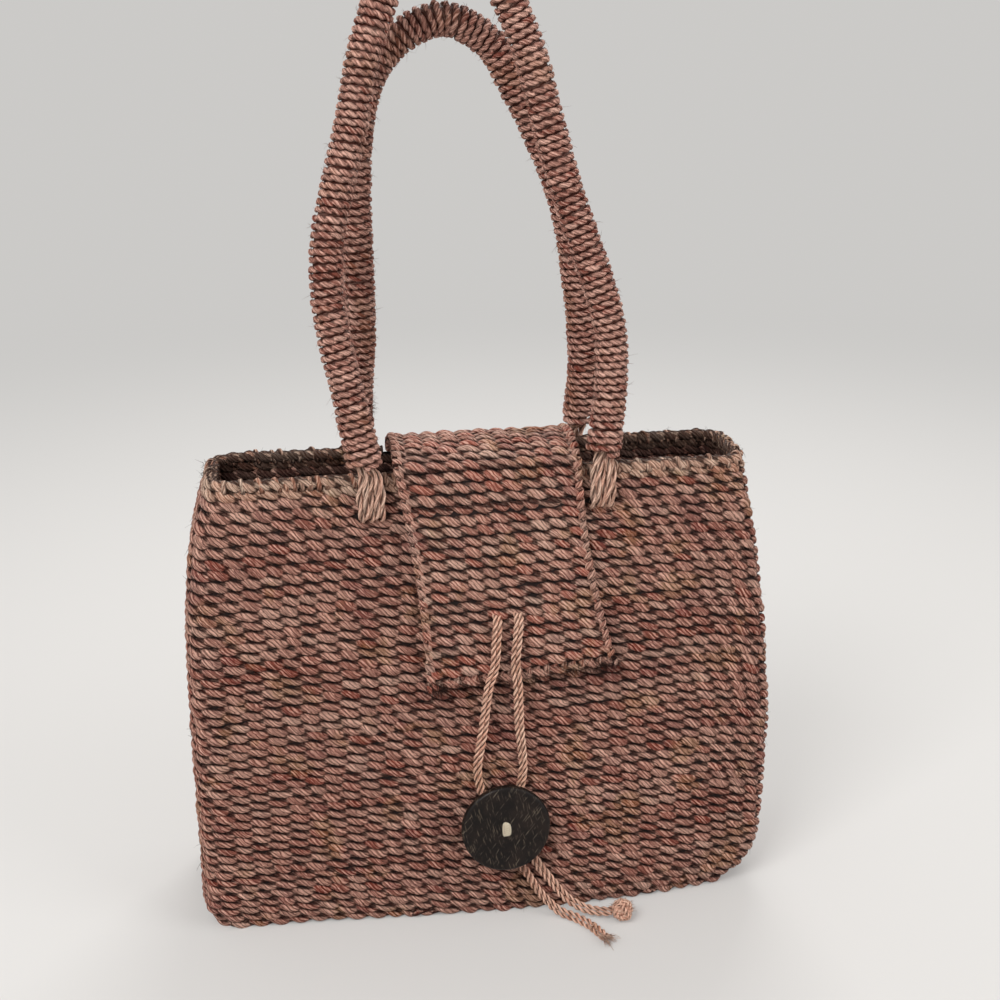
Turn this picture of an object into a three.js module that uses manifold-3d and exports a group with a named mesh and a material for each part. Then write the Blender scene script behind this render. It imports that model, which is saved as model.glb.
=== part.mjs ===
// Woven straw tote bag: twined walls and base, a bound rim, two corded rope handles,
// a folding flap, and a looped cord that hooks behind a coconut button.
// Millimetres, +Z up, +X to the right and -Y to the front. The bag stands on Z = 0.
import * as THREE from 'three';
import { mergeVertices } from 'three/addons/utils/BufferGeometryUtils.js';
import Module from 'manifold-3d';

const wasm = await Module();
wasm.setup();

// Bag body
const bodyHeight = 228;
const wall = 6;
const bellyHeight = 70;
const bellyHalfWidth = 147;
const rimHalfWidth = 131;
const footHalfDepth = 47.5;
const footSetBack = 3.5;
const rimHalfDepth = 26.5;
const cornerRadius = 14;
const frontCrown = 7;
const crownLean = 1.6;
const shoulder = { left: 4.5, right: 2 };
const baseThickness = 5.5;
const leftFoot = { inset: 7, height: 15 };
const rightFoot = { inset: 19, height: 27 };
const rightSag = { inset: 6, height: 90 };
const gap = 0.3;

// Rim border
const rimHeight = 8;
const rimProud = 0.75;
const rimTopInset = 1;

// Flap
const flapMiddle = 1.5;
const flapHalfWidth = 44;
const flapThickness = 5;
const flapArch = 9;
const flapFrontLength = 102;
const flapDrift = Math.tan(THREE.MathUtils.degToRad(6.5));
const flapTilt = Math.tan(THREE.MathUtils.degToRad(4.7));
const flapFlare = 0.045;
const flapWaist = 0.055;
const flapStandOff = 0.5;
const foldRise = 0.6;
const tongueRoot = 4;

// Handles
const handleFoot = { x: 57.5, standOut: 3.5, rise: 12 };
// How much wider than its feet each loop is, and how far it leans left, against the height
const handleLoops = {
  front: {
    shape: [
      { up: 0, wider: 0, lean: 0 },
      { up: 30, wider: 4.5, lean: 1 },
      { up: 55, wider: 6.75, lean: 3.75 },
      { up: 80, wider: 4.5, lean: 8.2 },
      { up: 100, wider: 0.4, lean: 10.9 },
      { up: 125, wider: -6.75, lean: 11.85 },
      { up: 150, wider: -13.4, lean: 11.7 },
      { up: 180, wider: -20.8, lean: 12.1 },
      { up: 200, wider: -28.5, lean: 12.5 },
      { up: 214, wider: -35.9, lean: 12.5 },
    ],
    top: 221,
    topLean: 12.5,
  },
  back: {
    shape: [
      { up: 0, wider: 0, lean: 0 },
      { up: 20, wider: -0.25, lean: -1.75 },
      { up: 45, wider: -1.95, lean: -2.05 },
      { up: 70, wider: -3.6, lean: -0.7 },
      { up: 95, wider: -5.5, lean: 1.6 },
      { up: 120, wider: -9.2, lean: 5.1 },
      { up: 145, wider: -15.75, lean: 9.75 },
      { up: 165, wider: -23.5, lean: 12.5 },
      { up: 183, wider: -35.1, lean: 12.1 },
    ],
    top: 193.5,
    topLean: 11.5,
  },
};
const handleTopClearance = 1;
const handleEndRadius = 8.6;
const handleRadius = 7.6;
const handleCoreRadius = 4.6;
const handleRibs = 72;
const ribDepth = 0.9;
const handleEndDrop = 5.5;
const wrapEndThickness = 3;
const wrapEndHole = 1.6;
const endSwellLength = 20;
const grooveShare = 0.12;

// Ties that carry the handles
const tieX = 55.7;
const tieShift = 1.3;
const tieWidth = 13;
const tieThickness = 4;
const tieTopClearance = 1.5;
const slotDrop = 20;
const slotHeight = 5.4;
const slotWidth = tieWidth + 2;
const tieKnotRadius = 5.5;
const tieBend = 1.5;
const tieReachInside = 3;

// Button and its thread
const buttonPlace = { x: 4, z: 53.3 };
const buttonTilt = THREE.MathUtils.degToRad(7);
const buttonRadius = 22;
const buttonThickness = 4.5;
const buttonEdge = 1.2;
const buttonStandOff = 6.4;
const buttonHoleSpacing = 5.2;
const buttonHoleRadius = 1.5;
const threadRadius = 1.15;
const stitch = { width: 3.6, thickness: 1.5 };
const saddle = { width: 2.4, thickness: 1.4 };
const neckRadius = 2.6;
const threadKnotRadius = 4.2;
const threadKnotFlat = 0.6;

// Closure cord
const cordRadius = 1.9;
const cordHoleRadius = cordRadius + 0.4;
const cordHoleRise = 30;
const cordHoleSpacing = 10.5;
const cordHoleMiddle = -2.5;
const bridgeSize = 2.6;
const closureKnotRadius = 4.7;
const closureKnotPlace = { x: 61.5, y: -67.5 };

const colours = {
  weave: 0x8a6456,
  rim: 0x9b7059,
  handle: 0x9c6f66,
  core: 0xb08a72,
  tie: 0xb38d78,
  button: 0x241c19,
  thread: 0xd9cdb4,
  cord: 0xa57a66,
};

function material(colour, roughness = 0.85) {
  return new THREE.MeshStandardMaterial({ color: colour, roughness, metalness: 0 });
}

// Solids

function toSolid(geometry) {
  const bare = geometry.clone();
  bare.deleteAttribute('normal');
  bare.deleteAttribute('uv');
  const merged = mergeVertices(bare, 1e-4);
  return new wasm.Manifold(new wasm.Mesh({
    numProp: 3,
    vertProperties: new Float32Array(merged.attributes.position.array),
    triVerts: new Uint32Array(merged.index.array),
  }));
}

function toGeometry(solid) {
  const mesh = solid.getMesh();
  const geometry = new THREE.BufferGeometry();
  geometry.setAttribute('position', new THREE.BufferAttribute(new Float32Array(mesh.vertProperties), 3));
  geometry.setIndex(new THREE.BufferAttribute(new Uint32Array(mesh.triVerts), 1));
  geometry.computeVertexNormals();
  return geometry;
}

function meshGeometry(points, triangles) {
  const geometry = new THREE.BufferGeometry();
  geometry.setAttribute('position', new THREE.Float32BufferAttribute(points.flat(), 3));
  geometry.setIndex(triangles.flat());
  geometry.computeVertexNormals();
  return geometry;
}

// A curved sheet between an outer and an inner grid of points, rows upward and columns anticlockwise
function sheetBetween(outer, inner) {
  const rows = outer.length;
  const columns = outer[0].length;
  const points = [...outer.flat(), ...inner.flat()];
  const out = (row, column) => row * columns + column;
  const back = (row, column) => rows * columns + row * columns + column;
  const triangles = [];
  const quad = (a, b, c, d) => triangles.push([a, b, c], [a, c, d]);
  for (let row = 0; row < rows - 1; row += 1) {
    for (let column = 0; column < columns - 1; column += 1) {
      quad(out(row, column), out(row, column + 1), out(row + 1, column + 1), out(row + 1, column));
      quad(back(row, column), back(row + 1, column), back(row + 1, column + 1), back(row, column + 1));
    }
    const last = columns - 1;
    quad(out(row, 0), out(row + 1, 0), back(row + 1, 0), back(row, 0));
    quad(out(row, last), back(row, last), back(row + 1, last), out(row + 1, last));
  }
  for (let column = 0; column < columns - 1; column += 1) {
    const top = rows - 1;
    quad(out(0, column), back(0, column), back(0, column + 1), out(0, column + 1));
    quad(out(top, column), out(top, column + 1), back(top, column + 1), back(top, column));
  }
  return meshGeometry(points, triangles);
}

// Closed body through rings of points that share one count, with flat ends
function ringBody(rings) {
  const count = rings[0].length;
  const points = rings.flat();
  const triangles = [];
  for (let ring = 0; ring < rings.length - 1; ring += 1) {
    for (let side = 0; side < count; side += 1) {
      const a = ring * count + side;
      const b = ring * count + (side + 1) % count;
      triangles.push([a, b, b + count], [a, b + count, a + count]);
    }
  }
  for (let side = 1; side < count - 1; side += 1) {
    triangles.push([0, side + 1, side]);
    const end = (rings.length - 1) * count;
    triangles.push([end, end + side, end + side + 1]);
  }
  return meshGeometry(points, triangles);
}

// A plate with its outline in the Y-Z plane, as wide as asked along X
function plateAcross(outline, width) {
  const shape = new THREE.Shape(outline.map(([y, z]) => new THREE.Vector2(y, z)));
  const geometry = new THREE.ExtrudeGeometry(shape, { depth: width, bevelEnabled: false });
  geometry.translate(0, 0, -width / 2);
  const yzx = new THREE.Matrix4().set(0, 0, 1, 0, 1, 0, 0, 0, 0, 1, 0, 0, 0, 0, 0, 1);
  return geometry.applyMatrix4(yzx);
}

// Outline of the bag at a height, measured to its outer face

function share(z) {
  return Math.max(0, (z - bellyHeight) / (bodyHeight - bellyHeight));
}

function footInset(foot, z) {
  return z < foot.height ? foot.inset * (1 - z / foot.height) ** 2 : 0;
}

function halfWidth(side, z) {
  const foot = side < 0 ? leftFoot : rightFoot;
  const sag = side < 0 ? 0 : rightSag.inset * Math.max(0, 1 - z / rightSag.height);
  const power = side < 0 ? shoulder.left : shoulder.right;
  return bellyHalfWidth - (bellyHalfWidth - rimHalfWidth) * share(z) ** power - footInset(foot, z) - sag;
}

function halfDepth(z) {
  const rise = (z / bodyHeight) ** 1.3;
  const foot = { inset: footSetBack, height: leftFoot.height };
  return footHalfDepth - (footHalfDepth - rimHalfDepth) * rise - footInset(foot, z);
}

function crown(z) {
  return frontCrown * Math.cos(Math.PI / 2 * Math.min(1, z / bodyHeight) ** 0.9);
}

// How far the cloth of the front and back stands out, from 0 at the left corner to 1 at the right
function crownShare(along) {
  return 1 - (2 * along ** crownLean - 1) ** 2;
}

function frontFace(z, x = 0) {
  const left = halfWidth(-1, z) - cornerRadius;
  const right = halfWidth(1, z) - cornerRadius;
  const along = Math.min(1, Math.max(0, (x + left) / (left + right)));
  return halfDepth(z) + crown(z) * crownShare(along);
}

function arcPoints(centreX, centreY, radius, from, to, steps) {
  return Array.from({ length: steps + 1 }, (_, step) => {
    const angle = THREE.MathUtils.degToRad(from + (to - from) * step / steps);
    return [centreX + radius * Math.cos(angle), centreY + radius * Math.sin(angle)];
  });
}

const cornerSteps = 3;
const seam = THREE.MathUtils.radToDeg(gap / 2 / (cornerRadius - wall));

const buttonMiddle = -(frontFace(buttonPlace.z, buttonPlace.x) + buttonStandOff + buttonThickness / 2);
const neckLength = buttonStandOff + wall;

// One side of the bag from corner to corner: 0 front, 1 right, 2 back, 3 left
function sidePath(side, z, inset, steps) {
  const radius = cornerRadius - inset;
  const right = halfWidth(1, z) - cornerRadius;
  const left = -(halfWidth(-1, z) - cornerRadius);
  const deep = halfDepth(z) - cornerRadius;
  const corners = [[left, -deep], [right, -deep], [right, deep], [left, deep]];
  const [fromX, fromY] = corners[side];
  const [toX, toY] = corners[(side + 1) % 4];
  const outward = -90 + 90 * side;
  const normal = [Math.round(Math.cos(outward * Math.PI / 180)), Math.round(Math.sin(outward * Math.PI / 180))];
  const bulge = side % 2 === 0 ? crown(z) : 0;
  const middle = Array.from({ length: steps - 1 }, (_, index) => {
    const along = (index + 1) / steps;
    const proud = radius + bulge * crownShare(side === 2 ? 1 - along : along);
    return [
      fromX + (toX - fromX) * along + normal[0] * proud,
      fromY + (toY - fromY) * along + normal[1] * proud,
    ];
  });
  return [
    ...arcPoints(fromX, fromY, radius, outward - 45 + seam, outward, cornerSteps),
    ...middle,
    ...arcPoints(toX, toY, radius, outward, outward + 45 - seam, cornerSteps),
  ];
}

function sideRows(side, heights, insets, steps) {
  return heights.map((z, row) => sidePath(side, z, insets[row], steps).map(([x, y]) => [x, y, z]));
}

// Walls

const wallTop = bodyHeight - rimHeight - gap;
const footHeights = [0, 2, baseThickness, 12, 22, 36];
const wallRows = 6;
const wallRise = (wallTop - footHeights.at(-1)) / wallRows;
const wallHeights = [
  ...footHeights,
  ...Array.from({ length: wallRows }, (_, row) => wallTop - (wallRows - 1 - row) * wallRise),
];
const sideSteps = [10, 4, 10, 4];

function wallPanel(side) {
  const outer = sideRows(side, wallHeights, wallHeights.map(() => 0), sideSteps[side]);
  const inner = sideRows(side, wallHeights, wallHeights.map(() => wall), sideSteps[side]);
  return sheetBetween(outer, inner);
}

const slotHeightMiddle = bodyHeight - slotDrop;

function slotCutters(front) {
  const depth = front * (rimHalfDepth + tieThickness);
  return [-1, 1].map((side) => {
    const cutter = new THREE.BoxGeometry(slotWidth, 4 * wall, slotHeight);
    cutter.translate(side * tieX - front * tieShift, depth, slotHeightMiddle);
    return toSolid(cutter);
  });
}

function frontWall() {
  const hole = new THREE.CylinderGeometry(neckRadius + gap, neckRadius + gap, 6 * wall, 16);
  hole.rotateX(-buttonTilt);
  hole.translate(buttonPlace.x, buttonMiddle, buttonPlace.z);
  let solid = toSolid(wallPanel(0)).subtract(toSolid(hole));
  slotCutters(-1).forEach((cutter) => {
    solid = solid.subtract(cutter);
  });
  return toGeometry(solid);
}

const flapAxis = { y: rimHalfDepth - wall / 2, z: bodyHeight };
const flapRound = flapThickness / 2;

function backWall() {
  const tongueTop = flapAxis.z - flapRound - gap;
  const tongue = new THREE.BoxGeometry(2 * flapHalfWidth, flapThickness, tongueTop - wallTop + tongueRoot);
  tongue.translate(flapMiddle, flapAxis.y, (tongueTop + wallTop - tongueRoot) / 2);
  let solid = toSolid(wallPanel(2)).add(toSolid(tongue));
  slotCutters(1).forEach((cutter) => {
    solid = solid.subtract(cutter);
  });
  return toGeometry(solid);
}

function basePanel() {
  const ring = (z) => [0, 1, 2, 3].flatMap((side) => (
    sidePath(side, z, wall + gap, sideSteps[side]).map(([x, y]) => [x, y, z])
  ));
  return ringBody([ring(0), ring(2), ring(baseThickness)]);
}

// Rim border

const rimHeights = [bodyHeight - rimHeight, bodyHeight - rimHeight / 2, bodyHeight];

function rimRows(side, steps) {
  const outer = sideRows(side, rimHeights, [-rimProud, -rimProud, rimTopInset], steps);
  const inside = wall + rimProud;
  const inner = sideRows(side, rimHeights, [inside, inside, wall - rimTopInset], steps);
  return [outer, inner];
}

function rimSide(side) {
  return sheetBetween(...rimRows(side, sideSteps[side]));
}

// The border stops at each side of the flap, where the back wall runs on into it
function backRim(side) {
  const whole = toSolid(rimSide(2));
  const keep = new THREE.BoxGeometry(bellyHalfWidth, 4 * wall, 4 * rimHeight);
  const reach = side * (flapHalfWidth + gap + bellyHalfWidth / 2);
  keep.translate(flapMiddle + reach, rimHalfDepth - wall, bodyHeight);
  return toGeometry(whole.intersect(toSolid(keep)));
}

// Flap

const foldAxis = {
  y: -(rimHalfDepth + rimProud + gap + flapRound),
  z: bodyHeight + gap + flapRound + foldRise,
};

function bandOutline(middle, radius) {
  const upper = [];
  const lower = [];
  middle.forEach(([y, z], index) => {
    const before = middle[Math.max(0, index - 1)];
    const after = middle[Math.min(middle.length - 1, index + 1)];
    const along = new THREE.Vector2(after[0] - before[0], after[1] - before[1]).normalize();
    upper.push([y - along.y * radius, z + along.x * radius]);
    lower.push([y + along.y * radius, z - along.x * radius]);
  });
  return { upper, lower };
}

// Half circle about an axis, from the band's upper face round to its lower face
function roundEnd(axis, start, steps = 6) {
  return Array.from({ length: steps - 1 }, (_, step) => {
    const angle = start + Math.PI * (step + 1) / steps;
    return [axis.y + flapRound * Math.cos(angle), axis.z + flapRound * Math.sin(angle)];
  });
}

function flapTop() {
  const rear = new THREE.Vector2(flapAxis.y, flapAxis.z);
  const fold = new THREE.Vector2(foldAxis.y, foldAxis.z);
  const lift = new THREE.Vector2((rear.x + fold.x) / 2, (rear.y + fold.y) / 2 + 2 * flapArch);
  const curve = new THREE.QuadraticBezierCurve(fold, lift, rear);
  const start = (flapRound + gap) / curve.getLength();
  const steps = 9;
  const middle = Array.from({ length: steps + 1 }, (_, step) => {
    const point = curve.getPointAt(start + (1 - start) * step / steps);
    return [point.x, point.y];
  });
  const { upper, lower } = bandOutline(middle, flapRound);
  const leave = Math.atan2(upper[steps][1] - flapAxis.z, upper[steps][0] - flapAxis.y);
  const end = roundEnd(flapAxis, leave - Math.PI);
  const plate = plateAcross([...lower, ...end, ...upper.reverse()], 2 * flapHalfWidth);
  return plate.translate(flapMiddle, 0, 0);
}

function flapFrontMiddle(depth) {
  const z = foldAxis.z - depth;
  const border = z > bodyHeight - 2 * rimHeight ? rimProud : 0;
  return [-(frontFace(z) + border + flapStandOff + flapRound), z];
}

// The hanging panel leans to the right, has a slight waist and widens again at its foot
function onPanel(across, depth) {
  const part = Math.max(0, depth) / flapFrontLength;
  const flare = (across + flapHalfWidth) * flapFlare * part ** 2;
  const waist = across * flapWaist * Math.sin(Math.PI * Math.min(1, part));
  return {
    x: flapMiddle + across - waist + part * flapFrontLength * flapDrift + flare,
    lift: across * flapTilt * part,
  };
}

function drift(geometry) {
  const position = geometry.attributes.position;
  for (let index = 0; index < position.count; index += 1) {
    const { x, lift } = onPanel(position.getX(index), foldAxis.z - position.getZ(index));
    position.setX(index, x);
    position.setZ(index, position.getZ(index) + lift);
  }
  return geometry;
}

function flapFront() {
  const steps = 10;
  const middle = Array.from({ length: steps + 1 }, (_, step) => flapFrontMiddle(flapFrontLength * step / steps));
  middle[0] = [foldAxis.y, foldAxis.z];
  const { upper, lower } = bandOutline(middle, flapRound);
  const first = Math.atan2(upper[0][1] - foldAxis.z, upper[0][0] - foldAxis.y);
  const end = roundEnd(foldAxis, first).reverse();
  const outline = [...upper, ...lower.reverse(), ...end];
  const plate = drift(plateAcross(outline, 2 * flapHalfWidth));
  let solid = toSolid(plate).subtract(toSolid(acrossHoles(bridgeSize + 2 * gap, flapThickness)));
  cordHoles().forEach((hole) => {
    const drill = new THREE.CylinderGeometry(cordHoleRadius, cordHoleRadius, 6 * flapThickness, 12);
    drill.translate(hole.x, hole.y, hole.z);
    solid = solid.subtract(toSolid(drill));
  });
  return toGeometry(solid);
}

// Where the cord crosses from hole to hole in the back of the flap, as a bar or as its groove
function acrossHoles(size, depth) {
  const [left, right] = cordHoles();
  const angle = Math.atan2(right.z - left.z, right.x - left.x);
  const bar = new THREE.BoxGeometry(cordHoleSpacing + 2 * cordRadius + size - bridgeSize, depth, size);
  bar.rotateY(-angle);
  const back = left.y + flapRound - bridgeSize - (size - bridgeSize) / 2;
  bar.translate((left.x + right.x) / 2, back + depth / 2, (left.z + right.z) / 2);
  return bar;
}

function cordHoles() {
  const depth = flapFrontLength - cordHoleRise;
  const [y, z] = flapFrontMiddle(depth);
  return [-0.5, 0.5].map((side) => {
    const { x, lift } = onPanel(cordHoleMiddle + side * cordHoleSpacing, depth);
    return { x, y, z: z + lift };
  });
}

// Handles

function handlePoints({ shape, top, topLean }) {
  const side = (hand) => shape.map(({ up, wider, lean }) => [hand * (handleFoot.x + wider) - lean, up]);
  return [...side(-1), [-topLean, top], ...side(1).reverse()];
}

const handleAxis = {
  y: rimHalfDepth + handleFoot.standOut,
  z: bodyHeight + handleFoot.rise,
};
const handleLean = Math.asin((handleAxis.y - handleRadius - ribDepth / 2 - handleTopClearance) / handleLoops.front.top);

function handleCurve(loop) {
  return new THREE.CatmullRomCurve3(handlePoints(loop).map(([x, up]) => new THREE.Vector3(x, 0, up)));
}

// Rings round a curve in the X-Z plane at the given lengths, with their own radii
function ringsAlong(curve, stations, sides) {
  const length = curve.getLength();
  return stations.map(([at, radius]) => {
    const here = Math.min(1, Math.max(0, at / length));
    const point = curve.getPointAt(here);
    const tangent = curve.getTangentAt(here);
    const past = at < 0 ? at : Math.max(0, at - length);
    const centre = point.clone().addScaledVector(tangent, past);
    const across = new THREE.Vector3(0, 1, 0);
    const outward = new THREE.Vector3().crossVectors(across, tangent);
    return Array.from({ length: sides }, (_, side) => {
      const angle = 2 * Math.PI * side / sides;
      return centre.clone()
        .addScaledVector(outward, radius * Math.cos(angle))
        .addScaledVector(across, radius * Math.sin(angle))
        .toArray();
    });
  });
}

function handleStations(curve) {
  const length = curve.getLength();
  const from = -handleEndDrop;
  const to = length + handleEndDrop;
  const pitch = (to - from) / handleRibs;
  const stations = [];
  for (let rib = 0; rib < handleRibs; rib += 1) {
    const low = from + rib * pitch;
    const fromEnd = Math.min(low - from, to - low - pitch);
    const swell = (handleEndRadius - handleRadius) * Math.exp(-fromEnd / endSwellLength);
    const radius = handleRadius + swell;
    stations.push([low + (rib === 0 ? 0 : grooveShare * pitch), radius - ribDepth]);
    stations.push([low + 0.5 * pitch, radius]);
  }
  stations.push([to, handleEndRadius - ribDepth]);
  return stations;
}

const coreSteps = 30;

function handleWrap(loop) {
  const curve = handleCurve(loop);
  const length = curve.getLength();
  const outside = ringsAlong(curve, handleStations(curve), 8);
  const boreFrom = -handleEndDrop + wrapEndThickness;
  const bore = Array.from({ length: coreSteps + 1 }, (_, step) => (
    [boreFrom + (length - 2 * boreFrom) * step / coreSteps, handleCoreRadius + gap]
  ));
  const ends = [[-handleEndDrop - 1, wrapEndHole], [boreFrom + 1, wrapEndHole]];
  let solid = toSolid(ringBody(outside)).subtract(toSolid(ringBody(ringsAlong(curve, bore, 8))));
  solid = solid.subtract(toSolid(ringBody(ringsAlong(curve, ends, 8))));
  return toGeometry(solid);
}

function handleCore(loop) {
  const curve = handleCurve(loop);
  const length = curve.getLength();
  const from = -handleEndDrop + wrapEndThickness + gap;
  const stations = Array.from({ length: coreSteps + 1 }, (_, step) => (
    [from + (length - 2 * from) * step / coreSteps, handleCoreRadius]
  ));
  return ringBody(ringsAlong(curve, stations, 8));
}

// Ties: down the outer face of the wall, through its slot, and knotted inside

function tie(side) {
  const top = handleAxis.z - handleEndDrop - tieTopClearance;
  const half = tieThickness / 2;
  const outerY = -(Math.max(frontFace(slotHeightMiddle), rimHalfDepth + rimProud) + gap);
  const wallInside = -(frontFace(slotHeightMiddle, tieX) - wall);
  const inside = wallInside + tieReachInside;
  const low = slotHeightMiddle - half;
  const outline = [
    [outerY, top], [outerY - tieThickness, top], [outerY - tieThickness, low + tieBend],
    [outerY - tieThickness + tieBend, low], [inside, low], [inside, low + tieThickness], [outerY, low + tieThickness],
  ];
  const strap = plateAcross(outline, tieWidth);
  const knot = new THREE.SphereGeometry(tieKnotRadius, 14, 10);
  knot.scale(1.15, 0.8, 1);
  knot.translate(0, inside + half, slotHeightMiddle);
  const geometry = toGeometry(toSolid(strap).add(toSolid(knot)));
  geometry.translate(side * tieX + tieShift, 0, 0);
  return geometry;
}

// Button, worked about its own centre with its front towards -Y

function buttonDisc() {
  const half = buttonThickness / 2;
  const profile = [
    [0, -half], [buttonRadius - buttonEdge, -half], [buttonRadius, -half + buttonEdge],
    [buttonRadius, half - buttonEdge], [buttonRadius - buttonEdge, half], [0, half],
  ].map(([r, y]) => new THREE.Vector2(r, y));
  const disc = toSolid(new THREE.LatheGeometry(profile, 36));
  const holes = [-0.5, 0.5].map((side) => {
    const hole = new THREE.CylinderGeometry(buttonHoleRadius, buttonHoleRadius, 2 * buttonThickness, 12);
    hole.translate(0, 0, side * buttonHoleSpacing);
    return toSolid(hole);
  });
  return toGeometry(disc.subtract(holes[0]).subtract(holes[1]));
}

// A staple of thread over the button's face, its legs in the holes and a neck to the wall
function buttonThread() {
  const half = buttonThickness / 2;
  const reach = buttonHoleSpacing / 2;
  const stitchLength = buttonHoleSpacing + 2 * threadRadius;
  const over = new THREE.BoxGeometry(stitch.width, stitch.thickness, stitchLength);
  over.translate(0, -half - gap - stitch.thickness / 2, 0);
  const neck = new THREE.CylinderGeometry(neckRadius, neckRadius, neckLength, 16);
  neck.translate(0, half + gap + neckLength / 2, 0);
  const under = new THREE.BoxGeometry(saddle.width, saddle.thickness, stitchLength);
  under.translate(0, half + gap + saddle.thickness / 2, 0);
  let solid = toSolid(over).add(toSolid(neck)).add(toSolid(under));
  [-reach, reach].forEach((z) => {
    const leg = new THREE.CylinderGeometry(threadRadius, threadRadius, buttonThickness + 4 * gap, 12);
    leg.translate(0, 0, z);
    solid = solid.add(toSolid(leg));
  });
  return toGeometry(solid);
}

function threadKnot() {
  const knot = new THREE.SphereGeometry(threadKnotRadius, 16, 10);
  knot.scale(1, threadKnotFlat, 1);
  const neckEnd = buttonThickness / 2 + gap + neckLength;
  return knot.translate(0, neckEnd + gap + threadKnotFlat * threadKnotRadius, 0);
}

// Closure cord: each doubled leg runs from its flap hole, behind the button and down to the floor

function cordTube(points, radius, steps) {
  const curve = new THREE.CatmullRomCurve3(points.map((p) => new THREE.Vector3(...p)), false, 'centripetal');
  const sides = 8;
  const section = new THREE.Shape(arcPoints(0, 0, radius, 0, 360 * (sides - 1) / sides, sides - 1)
    .map(([x, y]) => new THREE.Vector2(x, y)));
  return new THREE.ExtrudeGeometry(section, { extrudePath: curve, steps, bevelEnabled: false });
}

const fromHole = [
  [0, -0.8, 0], [0, -3.4, 0], [-0.3, -6.3, -3], [-1.2, -7, -12], [-2.2, -8.2, -24],
];
// Beside the front wall, placed from the button's middle, with the space left to the wall
function besideWall(across, up, away) {
  const x = buttonPlace.x + across;
  const z = buttonPlace.z + up;
  return [x, -(frontFace(z, x) + cordRadius + away), z];
}

const overFlap = flapStandOff + flapThickness + gap;
const belowFlap = foldAxis.z - flapFrontLength - 3.4 - buttonPlace.z;
const leftHang = [
  besideWall(-6.1, belowFlap, overFlap), besideWall(-9.3, 50, 3.2), besideWall(-12.5, 28, 1.2),
  besideWall(-10.7, 16, 0.9), besideWall(-5.6, 2, 1.2), besideWall(-2.9, -8, 0.8), besideWall(3.3, -18, 0.6),
  besideWall(9.8, -27, 0.5), besideWall(15.3, -37, 0.6),
  [25, -57.2, 8.5], [31, -60, 3.4], [38, -65, 2.3], [44, -72.5, 2.2], [49, -83, 2.2],
];
const rightHang = [
  besideWall(7.9, belowFlap, overFlap), besideWall(8.5, 50, 3.2), besideWall(10.1, 28, 1.2),
  besideWall(7.9, 14, 0.9), besideWall(7.3, 0, 1.2), besideWall(10.3, -12, 0.8), besideWall(16.3, -24, 0.6),
  besideWall(23.8, -35, 0.8),
  [35, -58.2, 9.5], [43.5, -61.3, 4.6], [51, -64, 3.8], [56.6, -65.8, 4.6],
];

function legPoints(hole, hang) {
  const start = fromHole.map(([x, y, z]) => [hole.x + x, hole.y + y, hole.z + z]);
  return [...start, ...hang];
}

const group = new THREE.Group();

function place(name, geometry, colour, roughness) {
  const mesh = new THREE.Mesh(geometry, material(colour, roughness));
  mesh.name = name;
  group.add(mesh);
  return mesh;
}

place('base_panel', basePanel(), colours.weave);
place('front_wall', frontWall(), colours.weave);
place('back_wall', backWall(), colours.weave);
place('right_gusset', wallPanel(1), colours.weave);
place('left_gusset', wallPanel(3), colours.weave);
place('front_rim', rimSide(0), colours.rim);
place('right_rim', rimSide(1), colours.rim);
place('left_rim', rimSide(3), colours.rim);
place('back_rim_right', backRim(1), colours.rim);
place('back_rim_left', backRim(-1), colours.rim);
place('flap_top', flapTop(), colours.weave);
place('flap_front', flapFront(), colours.weave);
place('closure_bridge', acrossHoles(bridgeSize, bridgeSize), colours.cord);

for (const [name, turn] of [['front', 0], ['back', Math.PI]]) {
  const facing = turn ? 1 : -1;
  const side = new THREE.Group();
  side.rotation.z = turn;
  const loop = new THREE.Group();
  loop.position.set(0, facing * handleAxis.y, handleAxis.z);
  loop.rotation.x = facing * handleLean;
  for (const [part, geometry, colour] of [
    ['core', handleCore(handleLoops[name]), colours.core], ['wrap', handleWrap(handleLoops[name]), colours.handle],
  ]) {
    const mesh = new THREE.Mesh(geometry, material(colour));
    mesh.name = `${name}_handle_${part}`;
    loop.add(mesh);
  }
  group.add(loop);
  for (const [hand, across] of [['left', -1], ['right', 1]]) {
    const mesh = new THREE.Mesh(tie(turn ? -across : across), material(colours.tie));
    mesh.name = `${name}_${hand}_tie`;
    side.add(mesh);
  }
  group.add(side);
}

for (const [name, geometry, colour, roughness] of [
  ['button', buttonDisc(), colours.button, 0.45],
  ['button_thread', buttonThread(), colours.thread],
  ['thread_knot', threadKnot(), colours.thread],
]) {
  const mesh = place(name, geometry, colour, roughness);
  mesh.position.set(buttonPlace.x, buttonMiddle, buttonPlace.z);
  mesh.rotation.x = -buttonTilt;
}

const [leftHole, rightHole] = cordHoles();
place('closure_cord_left', cordTube(legPoints(leftHole, leftHang), cordRadius, 52), colours.cord);
place('closure_cord_right', cordTube(legPoints(rightHole, rightHang), cordRadius, 50), colours.cord);
const closureKnot = place('closure_knot', new THREE.SphereGeometry(closureKnotRadius, 16, 10), colours.cord);
closureKnot.position.set(closureKnotPlace.x, closureKnotPlace.y, closureKnotRadius + gap);

export default group;
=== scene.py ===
# Woven straw tote bag

# Twined rows of straw run round a soft body with a flap over the mouth, two wound rope handles and a shell
# button with its closing cord. Shapes are worked in the millimetres of the part's source and written in
# metres.
import math

import bpy
import numpy as np
from mathutils import Matrix


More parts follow.
